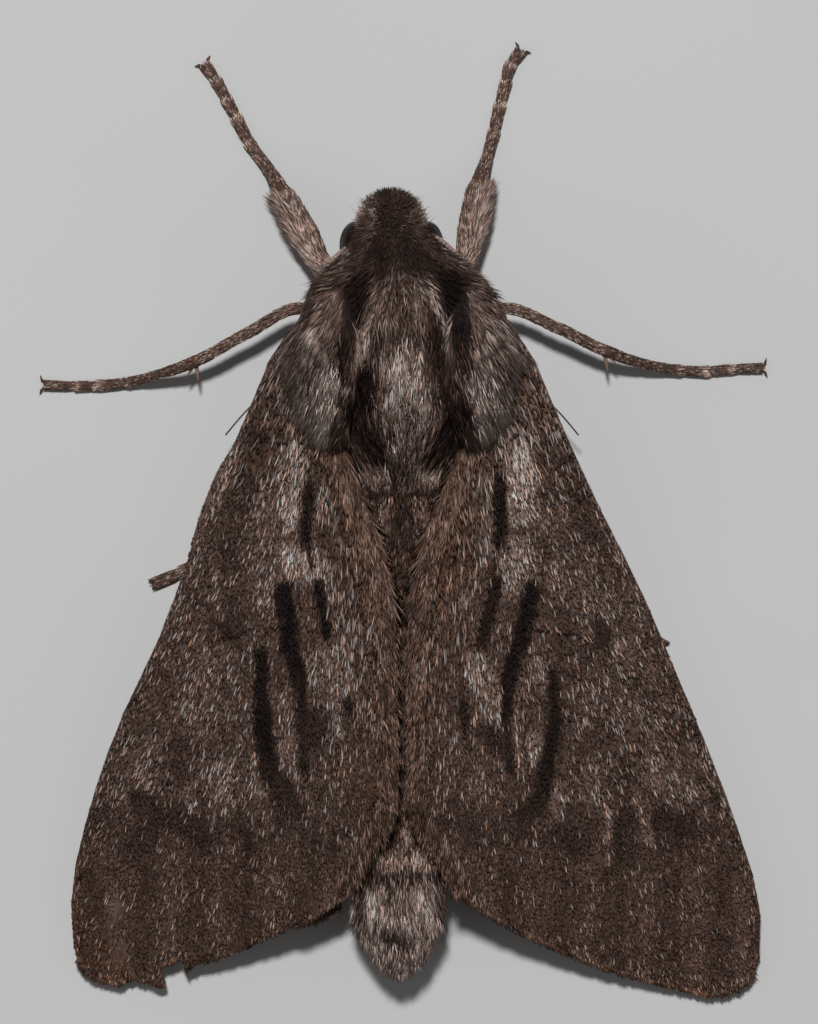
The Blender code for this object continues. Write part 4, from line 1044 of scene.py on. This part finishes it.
def spike_part(start, end, radius, tone, rust):
    """A thin cone from start to end."""
    places = np.linspace(0, 1, 7)[:, None]
    axis = np.hstack([start + places * (end - start), radius * (1 - places**1.6 * 0.93)])
    rings, _ = tube_rings(axis, 8)
    points, faces = lofted(rings)
    return points, faces, shade(np.full(len(points), float(tone)), rust)


def claw_parts(tip, before, size):
    """Two curved claws on a foot, spread like the arms of a T."""
    heading = unit(tip - before)
    aside = np.array([-heading[1], heading[0], 0.0])
    parts = []
    for turn in (-1, 1):
        knee = tip + size * (0.13 * heading + 0.17 * turn * aside + np.array([0, 0, 0.02]))
        end = knee + size * (0.08 * heading + 0.20 * turn * aside + np.array([0, 0, -0.14]))
        parts.append(spike_part(tip - 0.05 * heading, knee, 0.065, 0.22, 0.8))
        parts.append(spike_part(knee, end, 0.045, 0.18, 0.8))
    return parts


def make_leg(name):
    """A leg's skin with its claws and spurs, then its scales."""
    kind = name.split("_")[0]
    knots = np.hstack([LEG_PLAN[name], LEG_RISE[kind]])
    marks = np.concatenate([[0], np.cumsum(np.linalg.norm(np.diff(knots[:, :3], axis=0), axis=1))])
    total = marks[-1]
    marks = marks / total
    places = np.linspace(0, 1, 170)
    axis = curve_through(knots, places)
    ankle = marks[ANKLE]
    # Slimmer than the solids, the middle legs most, with a knob at the ankle and pale rings beyond
    slim = kind == "midleg"
    axis[:, 3] *= np.where(places > ankle, 0.66 if slim else 0.8, 0.6 if slim else 0.88)
    tone = np.where(places > ankle, 0.30, 0.38 if slim else 0.45)
    joint = hump((places - ankle) * total, 0.0, 0.16)
    axis[:, 3] *= 1 + 0.12 * joint
    for knot, strength in RINGS[kind].items():
        away = (places - marks[knot]) * total
        axis[:, 3] *= 1 + 0.14 * hump(away, -0.1, 0.13) - 0.16 * hump(away, 0.14, 0.1)
        tone = tone + 0.42 * strength * hump(away, -0.03, 0.13)
    axis[:, 2] = np.minimum(axis[:, 2], knots[:, 2].max() + 0.05)
    rings, along = tube_rings(axis, 18)
    points, faces = lofted(rings)
    point_tone = np.concatenate([np.repeat(tone * (1 - 0.1 * joint), 18), [0.3, 0.3]])
    point_rust = np.concatenate([np.repeat(0.35 + 0.65 * joint, 18), [0.3, 0.3]])
    parts = [(points, faces, shade(point_tone * 0.62, point_rust))]
    parts += claw_parts(knots[-1, :3], knots[-2, :3], 0.6 if kind == "hindleg" else 1.0)
    for reach in SPURS[name]:
        parts.append(spike_part(knots[ANKLE, :3], knots[ANKLE, :3] + reach, 0.09, 0.46, 0.35))
    obj = skin_object(name + "_skin", "leg", CUTICLE, *merged(parts))
    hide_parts(name)
    make_leg_coat(name, kind, axis, along, tone, joint, ankle, marks[2])


def make_leg_coat(name, kind, axis, along, tone, joint, ankle, knee):
    """Scales on a leg, and the long fringe on a front leg's tibia."""
    count = 4900 if kind == "foreleg" else 2800
    where = rng.random(count)
    if kind == "foreleg":
        where[:1500] = rng.uniform(knee, ankle, 1500)
    bare = np.interp(where, np.linspace(0, 1, len(joint)), joint)
    where = where[rng.random(count) > bare]
    count = len(where)
    station = where * (len(axis) - 1)
    low = np.minimum(station.astype(int), len(axis) - 2)
    share = (station - low)[:, None]
    centre = axis[low] * (1 - share) + axis[low + 1] * share
    forward = unit(along[low] * (1 - share) + along[low + 1] * share)
    side, over = square_to(forward)
    turn = rng.uniform(0, 2 * np.pi, count)
    normal = np.cos(turn)[:, None] * side + np.sin(turn)[:, None] * over
    place = centre[:, :3] + normal * centre[:, 3:4]
    place[:, 2] = np.maximum(place[:, 2], 0.02)
    upper = ramp(where, ankle, ankle - 0.05)
    longer = 0.05 if kind == "midleg" else 0.16
    length = (0.17 + longer * upper) * rng.uniform(0.7, 1.3, count)
    lift = 0.10 + longer * upper * rng.random(count)
    if kind == "foreleg":
        # A long outer fringe on the tibia, and other hair that ends before the ankle's knob
        outward = normal[:, 0] * (1.0 if name.endswith("right") else -1.0)
        fringe = upper * ramp(outward, 0.2, 0.7) * ramp(where, knee + 0.02, knee + 0.08)
        length = length + 0.55 * fringe * rng.uniform(0.6, 1.1, count)
        lift = lift + 0.22 * fringe
        room = (ankle - where) * np.linalg.norm(np.diff(axis[:, :3], axis=0), axis=1).sum()
        short = (room > 0) & (outward < 0.5)
        length = np.where(short, np.minimum(length, np.maximum(0.1, room - 0.1)), length)
    mean = np.interp(where, np.linspace(0, 1, len(tone)), tone)
    mean = mean * (0.8 + 0.4 * cloud(where * 60, turn))
    if kind == "foreleg":
        mean = mean * (1.08 - 0.34 * upper * ramp(outward, -0.2, -0.8))
    heading = tangent(forward + rng.normal(0, 0.10, (count, 3)), normal)
    low_end = place[:, 2] + heading[:, 2] * length < 0.01
    length = np.where(low_end, 0.12, length)
    uv = rows(0.02 + 0.96 * where, turn / (2 * np.pi) * 0.9 + 0.05)
    hairs(name + "_coat", LEG_COAT, place, normal, heading, length,
          0.05 * rng.uniform(0.7, 1.2, count), lift + 0.03, flecked(mean, 1.4, (0.4, 1.1), (0.75, 1.25)),
          np.clip(0.22 + rng.normal(0, 0.15, count), 0, 0.8), uv, droop=0.0, sink=0.004)


# Antennae, eyes and palps

ANTENNA = (
    (0.95, 10.5, 5.2, 0.26), (1.6, 10.1, 5.2, 0.26), (2.3, 9.5, 4.75, 0.27), (3.1, 8.6, 3.9, 0.27),
    (3.65, 7.5, 2.9, 0.26), (4.3, 6.0, 2.6, 0.25), (5.15, 4.5, 2.42, 0.21), (5.9, 3.7, 2.35, 0.15),
    (6.45, 3.05, 2.25, 0.07),
)


def make_antenna(name, side):
    """A ringed feeler, pale above, that sinks under the wing and shows again beside it."""
    # Both start on the shifted head and lean a little to its left, and the left one lies further back
    knots = np.array([(HEAD_SHIFT * (1 - i / 3) * (i < 3) + side * x, y, z, r)
                      for i, (x, y, z, r) in enumerate(ANTENNA)])
    knots[2:4, 0] -= 0.13
    knots[1:5, 1] -= 0.17 * (side < 0)
    places = np.linspace(0, 1, 280)
    axis = curve_through(knots, places)
    segments = 62
    ring = 0.5 - 0.5 * np.cos(2 * np.pi * places * segments)
    thick = 0.30 - 0.03 * ramp(places, 0.35, 0.78)
    thick = (thick + 0.07 * ring) * (1 - 0.5 * ramp(places, 0.75, 0.9))
    axis[:, 3] = np.maximum(0.03, axis[:, 3] * thick)
    axis[:, 3] *= 0.5 + 0.5 * ramp(places, 0.0, 0.08)
    # It comes down smoothly to where it goes under the wing
    down = ramp(places, 0.0, 0.6)
    axis[:, 2] = np.where(places < 0.6, 4.5 - 2.05 * down * down * (3 - 2 * down),
                          np.minimum(axis[:, 2] - 0.2, 2.45))
    rings, _ = tube_rings(axis, 16, floor=False)
    points, faces = lofted(rings)
    pale = 0.48 + 0.14 * ring - 0.28 * ramp(places, 0.2, 0.32) - 0.08 * ramp(places, 0.5, 0.75)
    top = np.clip(0.4 + 0.9 * np.sin(circle(16)), 0, 1)
    dark = 0.16
    tones = np.concatenate([(dark + (pale[:, None] - dark) * top).ravel(), [0.2, 0.12]])
    obj = skin_object(name + "_skin", "antenna", FEELER, points, faces, shade(tones, 0.15))
    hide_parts(name)


def round_body(centre, radii, rings=16, sides=20):
    """Points and triangles of a closed ellipsoid."""
    x, y = np.cos(circle(sides)), np.sin(circle(sides))
    return lofted([
        centre + np.asarray(radii) * rows(np.sin(tilt) * x, np.sin(tilt) * y, np.cos(tilt))
        for tilt in np.linspace(0.04, np.pi - 0.04, rings)])


def make_eye(name, side):
    centre = np.array([HEAD_SHIFT + side * 1.33, 9.9, 3.7])
    obj = skin_object(name + "_gloss", "eye", EYE, *round_body(centre, (0.56, 0.88, 0.88), 40, 48))
    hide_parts(name)


def make_palps():
    """The two scaly palps at the front of the head."""
    radii, count = np.array([0.36, 0.52, 0.52]), 1100
    for side, word in SIDES:
        centre = np.array([HEAD_SHIFT + side * 0.34, 11.22, 2.95])
        points, faces = round_body(centre, radii)
        skin_object("palp_skin_" + word, "coat", SKIN, points, faces, shade(np.full(len(points), 0.15)))
        place, _ = sampled(points, faces, count)
        normal = unit((place - centre) / radii ** 2)
        lie = np.tile([0.1 * side, 1.0, 0.35], (count, 1)) + rng.normal(0, 0.2, (count, 3))
        uv = rows(0.5 + np.arctan2(normal[:, 0], normal[:, 1]) / 7, 0.5 + 0.4 * normal[:, 2])
        hairs("palp_coat_" + word, FUR, place, normal, tangent(lie, normal),
              0.36 * rng.uniform(0.6, 1.2, count), 0.045, 0.35, flecked(np.full(count, 0.22), 0.9), 0.2, uv)


# Floor, light and camera

def make_stage():
    """A level floor, 1.2 m wide."""
    mesh = bpy.data.meshes.new("floor")
    mesh.from_pydata([(-0.6, -0.6, 0), (0.6, -0.6, 0), (0.6, 0.6, 0), (-0.6, 0.6, 0)], [], [(0, 1, 2, 3)])
    made, shader = material("floor_pale")
    haze = texture(made, "ShaderNodeTexNoise", 60.0)
    pale = two_colours(made, haze, (0.0, 1.0), ((0.50, 0.50, 0.50), (0.54, 0.54, 0.54)))
    set_inputs(made, shader, {"Roughness": 0.8}, {"Base Color": (pale, "Color")})
    mesh.materials.append(made)
    floor = bpy.data.objects.new("floor", mesh)
    bpy.context.scene.collection.objects.link(floor)


def area_light(name, place, size, power, aim=(0.0, 0.0, 0.0)):
    light = bpy.data.lights.new(name, "AREA")
    light.size = size
    light.energy = power
    obj = bpy.data.objects.new(name, light)
    obj.location = place
    obj.rotation_euler = (Vector(aim) - Vector(place)).to_track_quat("-Z", "Y").to_euler()
    bpy.context.scene.collection.objects.link(obj)


def make_light_and_camera():
    scene = bpy.context.scene
    area_light("key", (-0.02, 0.135, 0.42), 0.038, 1.72, (-0.002, 0.002, 0.0))
    area_light("fill", (0.30, -0.10, 0.35), 0.35, 0.11)
    area_light("rim", (-0.32, -0.05, 0.30), 0.35, 0.11)
    world = bpy.data.worlds.new("studio")
    world.use_nodes = True
    world.node_tree.nodes["Background"].inputs["Color"].default_value = (1.0, 0.98, 0.96, 1)
    world.node_tree.nodes["Background"].inputs["Strength"].default_value = 0.085
    scene.world = world
    data = bpy.data.cameras.new("camera")
    data.sensor_fit = "VERTICAL"
    data.sensor_height = 24.0
    data.lens = 140.0
    distance = 37.35 * data.lens / data.sensor_height  # the picture is 37.35 mm high, 2.5 mm up
    camera = bpy.data.objects.new("camera", data)
    camera.location = (0.255 * MM, 0.237 * MM, (distance + 2.5) * MM)
    scene.collection.objects.link(camera)
    scene.camera = camera
    scene.view_settings.view_transform = "Standard"
    scene.view_settings.look = "None"


make_stage()
make_light_and_camera()
skin = make_body()
body_coat(*skin)
brow_coat()
whiskers()
make_pads()
make_palps()
for wing_side, wing_word in SIDES:
    make_wing("forewing_" + wing_word, wing_side, hind=False, above=37000, below=5500)
    make_wing("hindwing_" + wing_word, wing_side, hind=True, above=1400, below=2600)
    make_antenna("antenna_" + wing_word, wing_side)
    make_eye("eye_" + wing_word, wing_side)
for leg in LEG_PLAN:
    make_leg(leg)
